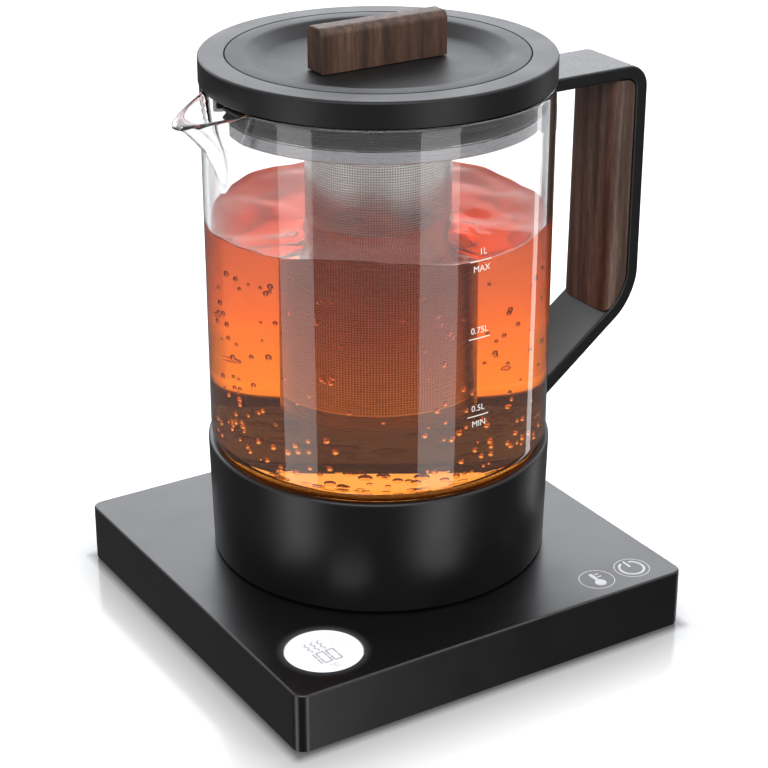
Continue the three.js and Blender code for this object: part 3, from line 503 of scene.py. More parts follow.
@dataclass(frozen=True)
class Tea(Finish):
    """Fresh black tea whose colour is painted by height, as painted light: red where the light
    crosses a full jug of it, orange over the lit floor.
    """

    name: str = "black_tea"
    ior: float = 1.333
    clear: float = 1.0
    # Colour by height from the floor up; the orange low down is painted light from the lit floor.
    stops: Stops = (
        (0.0, "#ff7a04"),
        (0.42, "#ff841a"),
        (0.62, "#e56624"),
        (0.78, "#c44e24"),
        (0.92, "#a64c36"),
    )
    low: float = 36.0
    high: float = 141.0
    # Half the width of the calm patch in front of the sleeve, which one can look down through.
    calm: float = 0.0

    def surface(self, nodes: Nodes) -> Any:
        """Adds the liquid, with its colour painted by height.

        Args:
            nodes: the material's nodes.

        Returns:
            The shader's output.
        """
        height = nodes.add("SeparateXYZ", {0: nodes.add("TexCoord")["Object"]})["Z"]
        span = {"Value": height, "From Min": self.low * MM, "From Max": self.high * MM}
        level = nodes.add("MapRange", span)["Result"]
        tone = nodes.add("ValToRGB", {"Fac": level}, self.stops)["Color"]
        clear = self.opened(nodes) if self.calm else self.clear
        return nodes.refracting(tone, self.ior, "#ffb070", clear)

    def opened(self, nodes: Nodes) -> Any:
        """Lets more light through the calm patch between the sleeve and the front of the glass.

        Args:
            nodes: the material's nodes.

        Returns:
            An output with the share of the light that passes.
        """
        turn = math.radians(CAMERA_TURN)
        aside = (-math.sin(turn), math.cos(turn), 0.0)
        toward = (math.cos(turn), math.sin(turn), 0.0)
        place = nodes.about_axis()
        across, ahead = (
            nodes.add("VectorMath", {0: place, 1: way}, operation="DOT_PRODUCT")["Value"]
            for way in (aside, toward)
        )
        wide = nodes.add("Math", {0: across}, operation="ABSOLUTE")["Value"]
        inside, before = (
            nodes.add("MapRange", {"Value": value, "From Min": start * MM, "From Max": end * MM})
            for value, start, end in ((wide, self.calm + 5, self.calm - 3), (ahead, -6, 16))
        )
        both = {0: inside["Result"], 1: before["Result"]}
        share = nodes.add("Math", both, operation="MULTIPLY")["Value"]
        return nodes.spread(share, self.clear, 1.0)


@dataclass(frozen=True)
class AirBubble(Finish):
    """Air in the tea: it bends light the other way, so each bubble has a dark rim."""

    name: str = "air_bubble"
    ior: float = 0.75

    def surface(self, nodes: Nodes) -> Any:
        """Adds the air and returns its shader's output."""
        return nodes.refracting("#ffe2c8", self.ior, "#ffffff")


@dataclass(frozen=True)
class OiledWalnut(Finish):
    """Walnut, planed and oiled: long brown figure with short dark pores along the grain."""

    along: str
    stops: Stops
    roughness: float = 0.45
    figure: float = 3.2
    pore: float = 0.35

    def surface(self, nodes: Nodes) -> Any:
        """Adds the figure of the wood with its pores.

        Args:
            nodes: the material's nodes.

        Returns:
            The shader's output.
        """
        figure = nodes.grain(self.stretched(self.figure, 16.0), 6.0)
        pores = nodes.grain(self.stretched(self.pore, 18.0), 4.0)
        tone = nodes.add("ValToRGB", {"Fac": figure}, self.stops)["Color"]
        parts = {0: nodes.spread(pores, 0.75, 0.0), 6: tone, 7: "#8f7768"}
        look = {
            "Base Color": nodes.add("Mix", parts, data_type="RGBA", blend_type="MULTIPLY")[2],
            "Roughness": nodes.spread(pores, self.roughness + 0.08, self.roughness - 0.08),
            "IOR": 1.5,
        }
        return nodes.marked(pores, 0.35, 0.08, look)

    def stretched(self, width: float, times: float) -> Corner:
        """Size of a mark that is longer along the grain.

        Args:
            width: size across the grain, in millimetres.
            times: how many widths long a mark is.

        Returns:
            The sizes along X, Y and Z.
        """
        return tuple(width * (times if axis == self.along else 1.0) for axis in "XYZ")


@dataclass(frozen=True)
class LitDial(Finish):
    """Opal acrylic over a white backlight: it glows evenly and brightens a little at its rim."""

    name: str = "opal_dial"

    def surface(self, nodes: Nodes) -> Any:
        """Adds the lit acrylic.

        Args:
            nodes: the material's nodes.

        Returns:
            The shader's output.
        """
        place = {0: nodes.add("TexCoord")["Object"], 1: DIAL_CENTRE * MM}
        away = nodes.add("VectorMath", place, operation="DISTANCE")["Value"]
        share = nodes.add("MapRange", {"Value": away, "From Max": DIAL_RADIUS * MM})["Result"]
        stops = ((0.0, "#f0f0f4"), (0.86, "#f3f3f7"), (0.93, "#ffffff"), (1.0, "#ffffff"))
        look = {
            "Base Color": "#b8b8bc",
            "Roughness": 0.25,
            "Emission Color": nodes.add("ValToRGB", {"Fac": share}, stops)["Color"],
            "Emission Strength": 0.75,
        }
        return nodes.add("BsdfPrincipled", look)["BSDF"]


@dataclass(frozen=True)
class PrintedInk(Finish):
    """Screen-printed enamel or ink: flat, matt, slightly uneven in its sheen and brightened by a
    painted glow.
    """

    colour: str
    # Painted glow: emission that brightens the ink, though the ink is no lamp.
    painted_glow: float = 0.0

    def surface(self, nodes: Nodes) -> Any:
        """Adds the ink with its uneven sheen and its painted glow.

        Args:
            nodes: the material's nodes.

        Returns:
            The shader's output.
        """
        look = {
            "Base Color": self.colour,
            "Roughness": nodes.spread(nodes.grain((0.6,) * 3), 0.5, 0.62),
            "Emission Color": self.colour,
            "Emission Strength": self.painted_glow,
        }
        return nodes.add("BsdfPrincipled", look)["BSDF"]


@dataclass(frozen=True)
class CircuitBoard(Finish):
    """Glass-epoxy board under green solder mask: glossy green with faint copper tracks below."""

    name: str = "solder_masked_board"
    track: float = 6.0

    def surface(self, nodes: Nodes) -> Any:
        """Adds the solder mask with its tracks.

        Args:
            nodes: the material's nodes.

        Returns:
            The shader's output.
        """
        sheet = {
            "Vector": nodes.add("TexCoord")["Object"],
            "Color1": "#1f6b3c",
            "Color2": "#1a5a33",
            "Mortar": "#3f8f55",
            "Scale": 1 / (self.track * MM),
            "Mortar Size": 0.04,
        }
        tracks = nodes.add("TexBrick", sheet)["Color"]
        return nodes.add("BsdfPrincipled", {"Base Color": tracks, "Roughness": 0.35})["BSDF"]


@dataclass(frozen=True)
class PaleTable(Finish):
    """Pale satin table that is lifted to white away from the kettle, as in a product picture, with
    a painted shadow near the plate.
    """

    name: str = "studio_floor"
    plate: float = 75.1
    # How far from the plate's edge the floor reaches its full lift, and that lift; the lower lift
    # at the edge is a painted shadow.
    reach: float = 29.0
    painted_shadow_lift: float = 0.08
    far: float = 0.64

    def surface(self, nodes: Nodes) -> Any:
        """Adds the table, with its lift and its painted contact shadow.

        Args:
            nodes: the material's nodes.

        Returns:
            The shader's output.
        """
        path = nodes.add("LightPath")
        rays = {0: path["Is Camera Ray"], 1: path["Is Transmission Ray"]}
        direct = nodes.add("Math", rays, operation="MAXIMUM")["Value"]
        # Distance from the edge of the plate, near which the lift is lowered as a painted shadow of
        # the kettle.
        away = nodes.add("TexCoord")["Object"]
        steps = (
            ("SUBTRACT", PLATE_CENTRE * MM),
            ("ABSOLUTE", None),
            ("SUBTRACT", (self.plate * MM, self.plate * MM, 0.0)),
            ("MAXIMUM", (0.0, 0.0, 0.0)),
            ("LENGTH", None),
        )
        for operation, other in steps:
            terms = {0: away} if other is None else {0: away, 1: other}
            outputs = nodes.add("VectorMath", terms, operation=operation)
            away = outputs["Value" if operation == "LENGTH" else "Vector"]
        lift = {"Value": away, "From Max": self.reach * MM, "To Min": self.painted_shadow_lift, "To Max": self.far}
        seen = {0: direct, 1: nodes.add("MapRange", lift)["Result"]}
        # Painted shadow: the table's colour goes to black in the gap under the plate's edge.
        gap = {"Value": away, "From Min": -1.0 * MM, "From Max": 3.5 * MM}
        tone = {0: nodes.add("MapRange", gap)["Result"], 6: "#000000", 7: "#c8c8c8"}
        look = {
            "Base Color": nodes.add("Mix", tone, data_type="RGBA")[2],
            "Roughness": 0.15,
            "IOR": 1.4,
            "Emission Color": "#ffffff",
            "Emission Strength": nodes.add("Math", seen, operation="MULTIPLY")["Value"],
        }
        return nodes.add("BsdfPrincipled", look)["BSDF"]


class Finishes:
    """The finishes of the kettle, each made once."""

    def __init__(self) -> None:
        """Makes every material."""
        wood = ((0.2, "#2c2019"), (0.42, "#493428"), (0.58, "#684d3e"), (0.8, "#8a6b58"))
        pale = ((0.2, "#392b24"), (0.42, "#554034"), (0.58, "#735b4e"), (0.8, "#8f7364"))
        self.plate = LitPlate("sparked_abs_plate", "#08080a", 0.3).build()
        self.shell = SparkedPlastic("sparked_abs_shell", "#08080a", 0.36, 1.43).build()
        self.lid = SparkedPlastic("sparked_abs_lid", "#08090b", 0.46, 1.42).build()
        self.dish = SparkedPlastic("sparked_abs_dish", "#08090b", 0.53, 1.42).build()
        self.inner = SparkedPlastic("moulded_pa_inner", "#141416", 0.5).build()
        self.strap = PowderCoat().build()
        self.rubber = MatteRubber("moulded_rubber", "#151516").build()
        self.silicone = MatteRubber("black_silicone", "#0b0b0c", 0.55, 0.25).build()
        # Darker copies of the same stainless, for the infuser's cup and the lid's band: their grey
        # is painted shade.
        self.band = BrushedMetal("satin_stainless_in_painted_shade", "#59565b", 0.3).build()
        self.ring = BrushedMetal("satin_stainless_in_painted_half_shade", "#828083", 0.3).build()
        self.steel = BrushedMetal("brushed_stainless", "#cfccc9").build()
        self.screen = PerforatedSteel("perforated_stainless", "#a8a4a2", 0.3).build()
        self.brass = BrushedMetal("brushed_brass", "#b8964e", 0.3).build()
        self.glass = ClearGlass().build()
        self.tea = Tea().build()
        top = ((0.0, "#ff5a2c"), (1.0, "#ff5a2c"))
        self.tea_top = Tea("stirred_tea_surface", clear=0.4, stops=top, calm=29.0).build()
        self.floor = BlastedSteel().build()
        self.bubble = AirBubble().build()
        self.knob = OiledWalnut("oiled_walnut_knob", "Z", wood, 0.58).build()
        self.grip = OiledWalnut("oiled_walnut_grip", "Z", pale).build()
        self.dial = LitDial().build()
        self.icon = PrintedInk("dial_icon_ink", "#a9a7ab", 0.6).build()
        self.key = PrintedInk("key_symbol_ink", "#c9cad0", 0.3).build()
        self.enamel = PrintedInk("fired_white_enamel", "#f4f1ee", 0.15).build()
        self.board = CircuitBoard().build()


# Mesh work


def draw(corners: list[Corner], closed: bool = True) -> BMesh:
    """Draws a line in the XZ plane and rounds its corners.

    Args:
        corners: x, z and, where the corner is rounded, how far the round reaches along each side.
        closed: whether the line ends where it starts.

    Returns:
        A mesh that holds the line.
    """
    bm = bmesh.new()
    points = [bm.verts.new((corner[0], 0.0, corner[1])) for corner in corners]
    ends = points[1:] + (points[:1] if closed else [])
    for start, end in zip(points, ends):
        bm.edges.new((start, end))
    reaches = [corner[2] if len(corner) > 2 else 0.0 for corner in corners]
    for reach in sorted(set(reaches) - {0.0}):
        sharp = [point for point, own in zip(points, reaches) if own == reach]
        bevel(bm, sharp, reach, 4 if reach < 2 else 12, "VERTICES")
    return bm


def spin(bm: BMesh, steps: int = 128, start: float = 0.0, sweep: float = 360.0) -> BMesh:
    """Turns a drawn line about the Z axis into a closed body.

    Args:
        bm: the mesh that holds the line; it is changed.
        steps: number of steps in the turn.
        start: azimuth at which the turn starts, in degrees.
        sweep: how far it goes, in degrees.

    Returns:
        The same mesh.
    """
    centre = (0.0, 0.0, 0.0)
    heading = Matrix.Rotation(math.radians(start), 3, "Z")
    bmesh.ops.rotate(bm, verts=bm.verts, cent=centre, matrix=heading)
    bmesh.ops.spin(
        bm,
        geom=bm.verts[:] + bm.edges[:],
        cent=centre,
        axis=(0.0, 0.0, 1.0),
        angle=math.radians(sweep),
        steps=steps,
        use_merge=sweep >= 360,
    )
    bmesh.ops.remove_doubles(bm, verts=bm.verts, dist=WELD)
    if sweep < 360:
        bmesh.ops.holes_fill(bm, edges=[edge for edge in bm.edges if edge.is_boundary], sides=0)
    bmesh.ops.recalc_face_normals(bm, faces=bm.faces)
    return bm


def turned(corners: list[Corner], closed: bool = True, steps: int = 128) -> BMesh:
    """Draws a profile and turns it fully about the Z axis."""
    return spin(draw(corners, closed), steps)


def swept(corners: list[Corner], start: float, sweep: float, steps: int = 120) -> BMesh:
    """Draws a profile and turns it part of the way about the Z axis."""
    return spin(draw(corners), steps, start, sweep)


def joined(parts: list[BMesh]) -> BMesh:
    """Puts several meshes into one.

    Args:
        parts: meshes that are freed here.

    Returns:
        The mesh that holds them all.
    """
    whole = bmesh.new()
    for part in parts:
        mesh = bpy.data.meshes.new("part")
        part.to_mesh(mesh)
        part.free()
        whole.from_mesh(mesh)
        bpy.data.meshes.remove(mesh)
    return whole


def moved(bm: BMesh, place: Corner) -> BMesh:
    """Moves a mesh and returns it."""
    bmesh.ops.translate(bm, vec=place, verts=bm.verts)
    return bm


def rotated(bm: BMesh, degrees: float, axis: str) -> BMesh:
    """Turns a mesh about an axis through the origin.

    Args:
        bm: the mesh; it is changed.
        degrees: how far it turns.
        axis: name of the axis.

    Returns:
        The same mesh.
    """
    matrix = Matrix.Rotation(math.radians(degrees), 3, axis)
    bmesh.ops.rotate(bm, verts=bm.verts, cent=(0.0, 0.0, 0.0), matrix=matrix)
    return bm


def slab(corners: list[Corner], width: float, edge: float, cuts: int = 0) -> BMesh:
    """Gives an outline in the XZ plane a width along Y, with its side edges rounded.

    Args:
        corners: the outline, as draw() takes it.
        width: the width, about y = 0.
        edge: how far the rounding of the side edges reaches.
        cuts: lines cut along the outline, so that its ends can be bent.

    Returns:
        A closed mesh.
    """
    bm = draw(corners)
    face = bmesh.ops.contextual_create(bm, geom=bm.edges[:])["faces"][0]
    extrude(bm, [face], (0.0, width, 0.0))
    moved(bm, (0.0, -width / 2, 0.0))
    bmesh.ops.recalc_face_normals(bm, faces=bm.faces)
    if edge:
        sides = [face for face in bm.faces if abs(face.normal.y) > 0.99]
        rims = list({rim for side in sides for rim in side.edges})
        bevel(bm, rims, edge, 3)
    if cuts:
        long = [e for e in bm.edges if abs(e.verts[0].co.y - e.verts[1].co.y) > width / 2]
        bmesh.ops.subdivide_edges(bm, edges=long, cuts=cuts, use_grid_fill=True)
    return bm


def extrude(bm: BMesh, faces: list[bmesh.types.BMFace], by: Corner, keep: bool = True) -> None:
    """Draws faces out into a body.

    Args:
        bm: the mesh.
        faces: the faces.
        by: how far they go along each axis.
        keep: whether they also stay where they were.
    """
    made = bmesh.ops.extrude_face_region(bm, geom=faces, use_keep_orig=keep)
    fresh = [item for item in made["geom"] if isinstance(item, bmesh.types.BMVert)]
    bmesh.ops.translate(bm, vec=by, verts=fresh)


def cut(bm: BMesh, axis: int, levels: list[float]) -> None:
    """Adds points to a drawn line where it crosses levels of an axis.

    Args:
        bm: the mesh that holds the line.
        axis: number of the axis.
        levels: places along it.
    """
    way = Vector([float(i == axis) for i in range(3)])
    for level in levels:
        line = bm.verts[:] + bm.edges[:]
        bmesh.ops.bisect_plane(bm, geom=line, dist=WELD, plane_co=way * level, plane_no=way)


def bevel(
    bm: BMesh, sharp: list[Any], reach: float, segments: int, affect: str = "EDGES"
) -> None:
    """Rounds edges or corners.

    Args:
        bm: the mesh.
        sharp: the edges or points to round.
        reach: how far the round goes along each side.
        segments: steps across the round.
        affect: EDGES or VERTICES.
    """
    bmesh.ops.bevel(
        bm,
        geom=sharp,
        offset=reach,
        offset_type="OFFSET",
        segments=segments,
        profile=0.5,
        affect=affect,
        material=-1,
    )


def pierce(bm: BMesh, axis: int, levels: Corner, holes: list[tuple[Vector, float]]) -> None:
    """Opens round holes through a wall between two flat faces.

    Args:
        bm: the mesh; each face is the largest that lies at its level.
        axis: number of the axis that the holes follow.
        levels: the places of the two faces along that axis.
        holes: centre and radius of each hole.
    """
    lay = Matrix.Rotation(math.pi / 2, 4, "X") if axis == 1 else Matrix.Identity(4)
    rims: list[list[Any]] = []
    for level in levels:
        bm.normal_update()
        flat = [f for f in bm.faces if abs(f.calc_center_median()[axis] - level) < 0.01]
        face = max((f for f in flat if abs(f.normal[axis]) > 0.99), key=lambda f: f.calc_area())
        edges = list(face.edges)
        out = face.normal.copy()
        bmesh.ops.delete(bm, geom=[face], context="FACES_ONLY")
        loops = []
        for centre, radius in holes:
            place = centre.copy()
            place[axis] = level
            matrix = Matrix.Translation(place) @ lay
            made = bmesh.ops.create_circle(bm, radius=radius, segments=96, matrix=matrix)
            loops.append(list({edge for vert in made["verts"] for edge in vert.link_edges}))
            edges += loops[-1]
        bmesh.ops.triangle_fill(bm, use_beauty=True, use_dissolve=False, edges=edges, normal=out)
        rims.append(loops)
    for first, second in zip(*rims):
        bmesh.ops.bridge_loops(bm, edges=first + second)
    bmesh.ops.recalc_face_normals(bm, faces=bm.faces)


def ribbon(points: Places, width: float, thick: float, closed: bool = False) -> BMesh:
    """Makes a flat printed line of one width along points in the XY plane.

    Args:
        points: the middle of the line.
        width: width of the line.
        thick: height of the ink.
        closed: whether the line ends where it starts.

    Returns:
        A closed mesh that stands on z = 0.
    """
    bm = bmesh.new()
    count = len(points)
    pairs = []
    for i, (x, y) in enumerate(points):
        before = points[(i - 1) % count] if closed or i else points[i]
        after = points[(i + 1) % count] if closed or i + 1 < count else points[i]
        side = Vector((before[1] - after[1], after[0] - before[0], 0.0)).normalized() * width / 2
        middle = Vector((x, y, 0.0))
        pairs.append((bm.verts.new(middle - side), bm.verts.new(middle + side)))
    for first, second in zip(pairs, pairs[1:] + (pairs[:1] if closed else [])):
        bm.faces.new((first[0], second[0], second[1], first[1]))
    extrude(bm, bm.faces[:], (0.0, 0.0, thick))
    bmesh.ops.recalc_face_normals(bm, faces=bm.faces)
    return bm


def arc(centre: Corner, radius: float, start: float, end: float, count: int) -> Places:
    """Points on an arc in the XY plane, from one angle in degrees to another."""
    angles = [math.radians(start + (end - start) * i / count) for i in range(count + 1)]
    return [(centre[0] + radius * math.cos(a), centre[1] + radius * math.sin(a)) for a in angles]


def lettering(words: str, height: float, thick: float) -> BMesh:
    """Makes letters that lie in the XY plane, centred on the origin.

    Args:
        words: what they say.
        height: size of the letters.
        thick: height of the ink.

    Returns:
        A mesh of the letters.
    """
    curve = bpy.data.curves.new("letters", "FONT")
    curve.body = words
    curve.size = height
    curve.align_x = curve.align_y = "CENTER"
    curve.extrude = thick / 2
    curve.resolution_u = 4
    letters = bpy.data.objects.new("letters", curve)
    bpy.context.scene.collection.objects.link(letters)
    mesh = bpy.data.meshes.new_from_object(
        letters.evaluated_get(bpy.context.evaluated_depsgraph_get())
    )
    bm = bmesh.new()
    bm.from_mesh(mesh)
    bpy.data.objects.remove(letters)
    bpy.data.curves.remove(curve)
    bpy.data.meshes.remove(mesh)
    bmesh.ops.remove_doubles(bm, verts=bm.verts, dist=1e-5)
    return moved(bm, (0.0, 0.0, thick / 2))


@dataclass
class Part:
    """A sub-assembly: its pieces ride on one body and are set out from one origin."""

    body: ClassVar[Body] = Body.JUG
    origin: ClassVar[Vector] = JUG_AXIS

    finishes: Finishes

    def put(
        self,
        name: str,
        finish: bpy.types.Material,
        bm: BMesh,
        node: str = "",
        slot: str = "",
        at: Vector | None = None,
        smooth: float = MOULD_SMOOTH,
        weighted: bool = False,
    ) -> bpy.types.Object:
        """Args:
            name: name of the piece.
            finish: its material.
            bm: the mesh, in millimetres about its place; it is freed.
            node: the solid that it replaces, if any.
            slot: its material slot in the record, if any; not used.
            at: its place from the origin of the sub-assembly.
            smooth: angle in degrees up to which an edge is shaded smooth.
            weighted: whether flat faces keep even shading beside small rounds.

        Returns:
            The new object.
        """
        moved(bm, self.origin + (at or Vector()))
        bmesh.ops.scale(bm, vec=(MM, MM, MM), verts=bm.verts)
        mesh = bpy.data.meshes.new(name)
        bm.to_mesh(mesh)
        bm.free()
        mesh.shade_smooth()
        mesh.set_sharp_from_angle(angle=math.radians(smooth))
        mesh.materials.append(finish)
        piece = bpy.data.objects.new(name, mesh)
        bpy.context.scene.collection.objects.link(piece)
        if weighted:
            piece.modifiers.new("even_flats", "WEIGHTED_NORMAL").keep_sharp = True
        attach(piece, self.body.value)
        if node:
            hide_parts(node)
        LOG.info("%s: %d faces, rides on %s", name, len(mesh.polygons), self.body.value)
        return piece


def dress(finish: bpy.types.Material, *nodes: str) -> None:
    """Gives nodes that are kept as they are a finish.

    Args:
        finish: the material.
        nodes: names of the nodes.
    """
    for name in nodes:
        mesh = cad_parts[name].data
        mesh.materials.clear()
        mesh.materials.append(finish)
        LOG.info("%s: kept, finished in %s", name, finish.name)


# Base


@dataclass
class Base(Part):
    """Square powered base: housing, connector, lit dial, touch keys, feet and cord gland."""

    body: ClassVar[Body] = Body.BASE
    origin: ClassVar[Vector] = PLATE_CENTRE

    side: float = 150.2
    corner: float = 4.0
    edge: float = 0.8
    low: float = 1.0
    top: float = 21.3
    under: float = 18.9
    wall: float = 2.4
    boss: Vector = field(default_factory=lambda: Vector((2.36, 3.57, 0.0)))
    boss_radius: float = 15.5
    dial: Vector = field(default_factory=lambda: Vector((-54.4, -55.3, 0.0)))
    boss_rise: float = 7.5
    slot_depth: float = 6.5
    gland_height: float = 10.5
    gland_radius: float = 5.0
    foot_inset: float = 15.0
    foot_radius: float = 6.0
    keys: tuple[tuple[float, float], ...] = ((46.1, -64.8), (60.9, -64.7))
    key_radius: float = 6.0
    gap: float = 0.3
    ink: float = 0.04

    def build(self) -> None:
        """Builds every piece of the base."""
        self.housing()
        self.connector()
        self.feet()
        self.gland()
        self.lens()
        self.dial_icons()
        self.key_icons()
        finishes = self.finishes
        dress(finishes.inner, "base_bottom_cover", "display_module")
        dress(finishes.board, "control_board", "power_board")
        dress(finishes.brass, "base_contact_ring", "base_contact_tube")
        dress(finishes.brass, "touch_sensor_temperature", "touch_sensor_power")
        dress(finishes.steel, *(f"base_cover_screw_{i}" for i in range(1, 5)))

    def housing(self) -> None:
        """Moulds the hollow plate with its round openings."""
        bm = bmesh.new()
        bmesh.ops.create_cube(bm, size=1.0)
        height = self.top - self.low
        bmesh.ops.scale(bm, vec=(self.side, self.side, height), verts=bm.verts)
        moved(bm, (0.0, 0.0, self.low + height / 2))
        uprights = [e for e in bm.edges if abs(e.verts[0].co.z - e.verts[1].co.z) > 1]
        bevel(bm, uprights, self.corner, 10)
        roof = max(bm.faces, key=lambda face: face.calc_center_median().z)
        bevel(bm, list(roof.edges), self.edge, 4)
        floor = min(bm.faces, key=lambda face: face.calc_center_median().z)
        bmesh.ops.inset_region(bm, faces=[floor], thickness=self.wall, use_even_offset=True)
        extrude(bm, [floor], (0.0, 0.0, self.under - self.low), keep=False)
        holes = [
            (self.boss, self.boss_radius + self.gap),
            (self.dial, DIAL_RADIUS + self.gap),
        ]
        pierce(bm, 2, (self.top, self.under), holes)
        cord = Vector((0.0, 0.0, self.gland_height))
        holes = [(cord, self.gland_radius + self.gap)]
        pierce(bm, 1, (self.side / 2, self.side / 2 - self.wall), holes)
        finish, slot = self.finishes.plate, "base_black"
        self.put("base_housing_skin", finish, bm, "base_housing", slot, weighted=True)

    def connector(self) -> None:
        """Turns the raised boss with its slots."""
        top = self.top + self.boss_rise
        floor = top - self.slot_depth
        corners = [
            (0.0, 6.0), (14.0, 6.0, 1.5), (14.0, 16.0), (20.0, 16.0, 0.4),
            (20.0, self.under - self.gap), (self.boss_radius, self.under - self.gap),
            (self.boss_radius, top, 1.2), (10.0, top, 0.3), (10.0, floor), (6.6, floor),
            (6.6, top, 0.3), (3.4, top, 0.3), (3.4, floor), (0.0, floor),
        ]
        bm = turned(corners, closed=False, steps=96)
        finish, slot = self.finishes.inner, "inner_black"
        self.put("base_connector_boss", finish, bm, "base_connector", slot, self.boss)

    def feet(self) -> None:
        """Turns the four rubber feet."""
        inset = self.side / 2 - self.foot_inset
        corners = [(0.0, 0.0), (self.foot_radius, 0.0, 0.8), (self.foot_radius, 2.0), (0.0, 2.0)]
        for end, y in (("front", -inset), ("rear", inset)):
            for side, x in (("left", -inset), ("right", inset)):
                foot = f"foot_{end}_{side}"
                bm, at = turned(corners, closed=False, steps=48), Vector((x, y, 0.0))
                self.put(foot + "_pad", self.finishes.rubber, bm, foot, "rubber_black", at)

    def gland(self) -> None:
        """Turns the bush in the rear wall and lays it along Y."""
        back = self.side / 2
        inside = back - self.wall - self.gap
        bore, bush, collar, front = 3.3, self.gland_radius, 6.5, 65.5
        stop = inside - 1.8
        corners = [
            (bore, front, 0.3), (bush, front, 0.3), (bush, stop), (collar, stop, 0.3),
            (collar, inside, 0.3), (bush, inside), (bush, back, 0.4), (bore, back, 0.6),
        ]
        bm = rotated(turned(corners, steps=64), -90.0, "X")
        at = Vector((0.0, 0.0, self.gland_height))
        self.put("cord_gland_bush", self.finishes.rubber, bm, "cord_gland", "rubber_black", at)

    def lens(self) -> None:
        """Turns the flush opal dial."""
        low = 17.5
        corners = [
            (0.0, low), (14.0, low, 0.3), (14.0, self.under - self.gap),
            (DIAL_RADIUS, self.under - self.gap), (DIAL_RADIUS, self.top, 0.3), (0.0, self.top),
        ]
        bm = turned(corners, closed=False, steps=96)
        self.put(
            "display_lens_dial", self.finishes.dial, bm, "display_lens", "display_white", self.dial
        )

    def dial_icons(self) -> None:
        """Prints the temperature and three wisps of steam on the dial."""
        parts = []
        for x in (-3.8, -1.5, 0.8):
            wave = [(x + 0.5 * math.sin(i * 0.8), 0.8 + 0.3 * i) for i in range(19)]
            parts.append(ribbon(wave, 0.5, self.ink))
        for x, digit in ((-5.6, "1"), (-1.9, "0"), (1.7, "0")):
            parts.append(moved(self.segments(digit), (x, -3.4, 0.0)))
        parts.append(moved(lettering("°C", 3.0, self.ink), (-1.2, -9.2, 0.0)))
        at = self.dial + Vector((0.0, 0.0, self.top))
        print_of = {"slot": "display_white", "at": at, "smooth": PRINT_SMOOTH}
        self.put("display_icons", self.finishes.icon, joined(parts), **print_of)

    def segments(self, digit: str) -> BMesh:
        """Lays out one digit of seven bars.

        Args:
            digit: 0 or 1.

        Returns:
            A mesh of the digit's bars.
        """
        wide, tall = 1.3, 3.1
        bars = {
            "top": [(-wide, tall), (wide, tall)],
            "bottom": [(-wide, -tall), (wide, -tall)],
            "left_high": [(-wide, 0.2), (-wide, tall)],
            "left_low": [(-wide, -tall), (-wide, -0.2)],
            "right_high": [(wide, 0.2), (wide, tall)],
            "right_low": [(wide, -tall), (wide, -0.2)],
        }
        lit = list(bars) if digit == "0" else ["right_high", "right_low"]
        return joined([ribbon(bars[name], 0.65, self.ink) for name in lit])

    def key_icons(self) -> None:
        """Prints the outlines of the two touch keys with a thermometer and a power sign."""
        middle = (0.0, 0.0)
        circle = arc(middle, self.key_radius, 0, 354, 59)
        outline = [ribbon(circle, 0.28, self.ink, True) for _ in self.keys]
        bulb = ribbon(arc((0.0, -2.2), 1.0, 0, 345, 23), 1.9, self.ink, True)
        stem = ribbon([(0.0, -0.2), (0.0, 4.0)], 1.4, self.ink)
        ticks = [ribbon([(1.2, level), (2.7, level)], 0.55, self.ink) for level in (1.2, 2.9)]
        power = ribbon(arc(middle, 4.2, 112, 428, 40), 0.8, self.ink)
        stroke = ribbon([(0.0, 0.9), (0.0, 4.9)], 0.8, self.ink)
        drawings = {
            "key_temperature_print": [outline[0], bulb, stem, *ticks],
            "key_power_print": [outline[1], power, stroke],
        }
        for (name, parts), (x, y) in zip(drawings.items(), self.keys):
            at = Vector((x, y, self.top))
            self.put(name, self.finishes.key, joined(parts), at=at, smooth=PRINT_SMOOTH)


# Jug


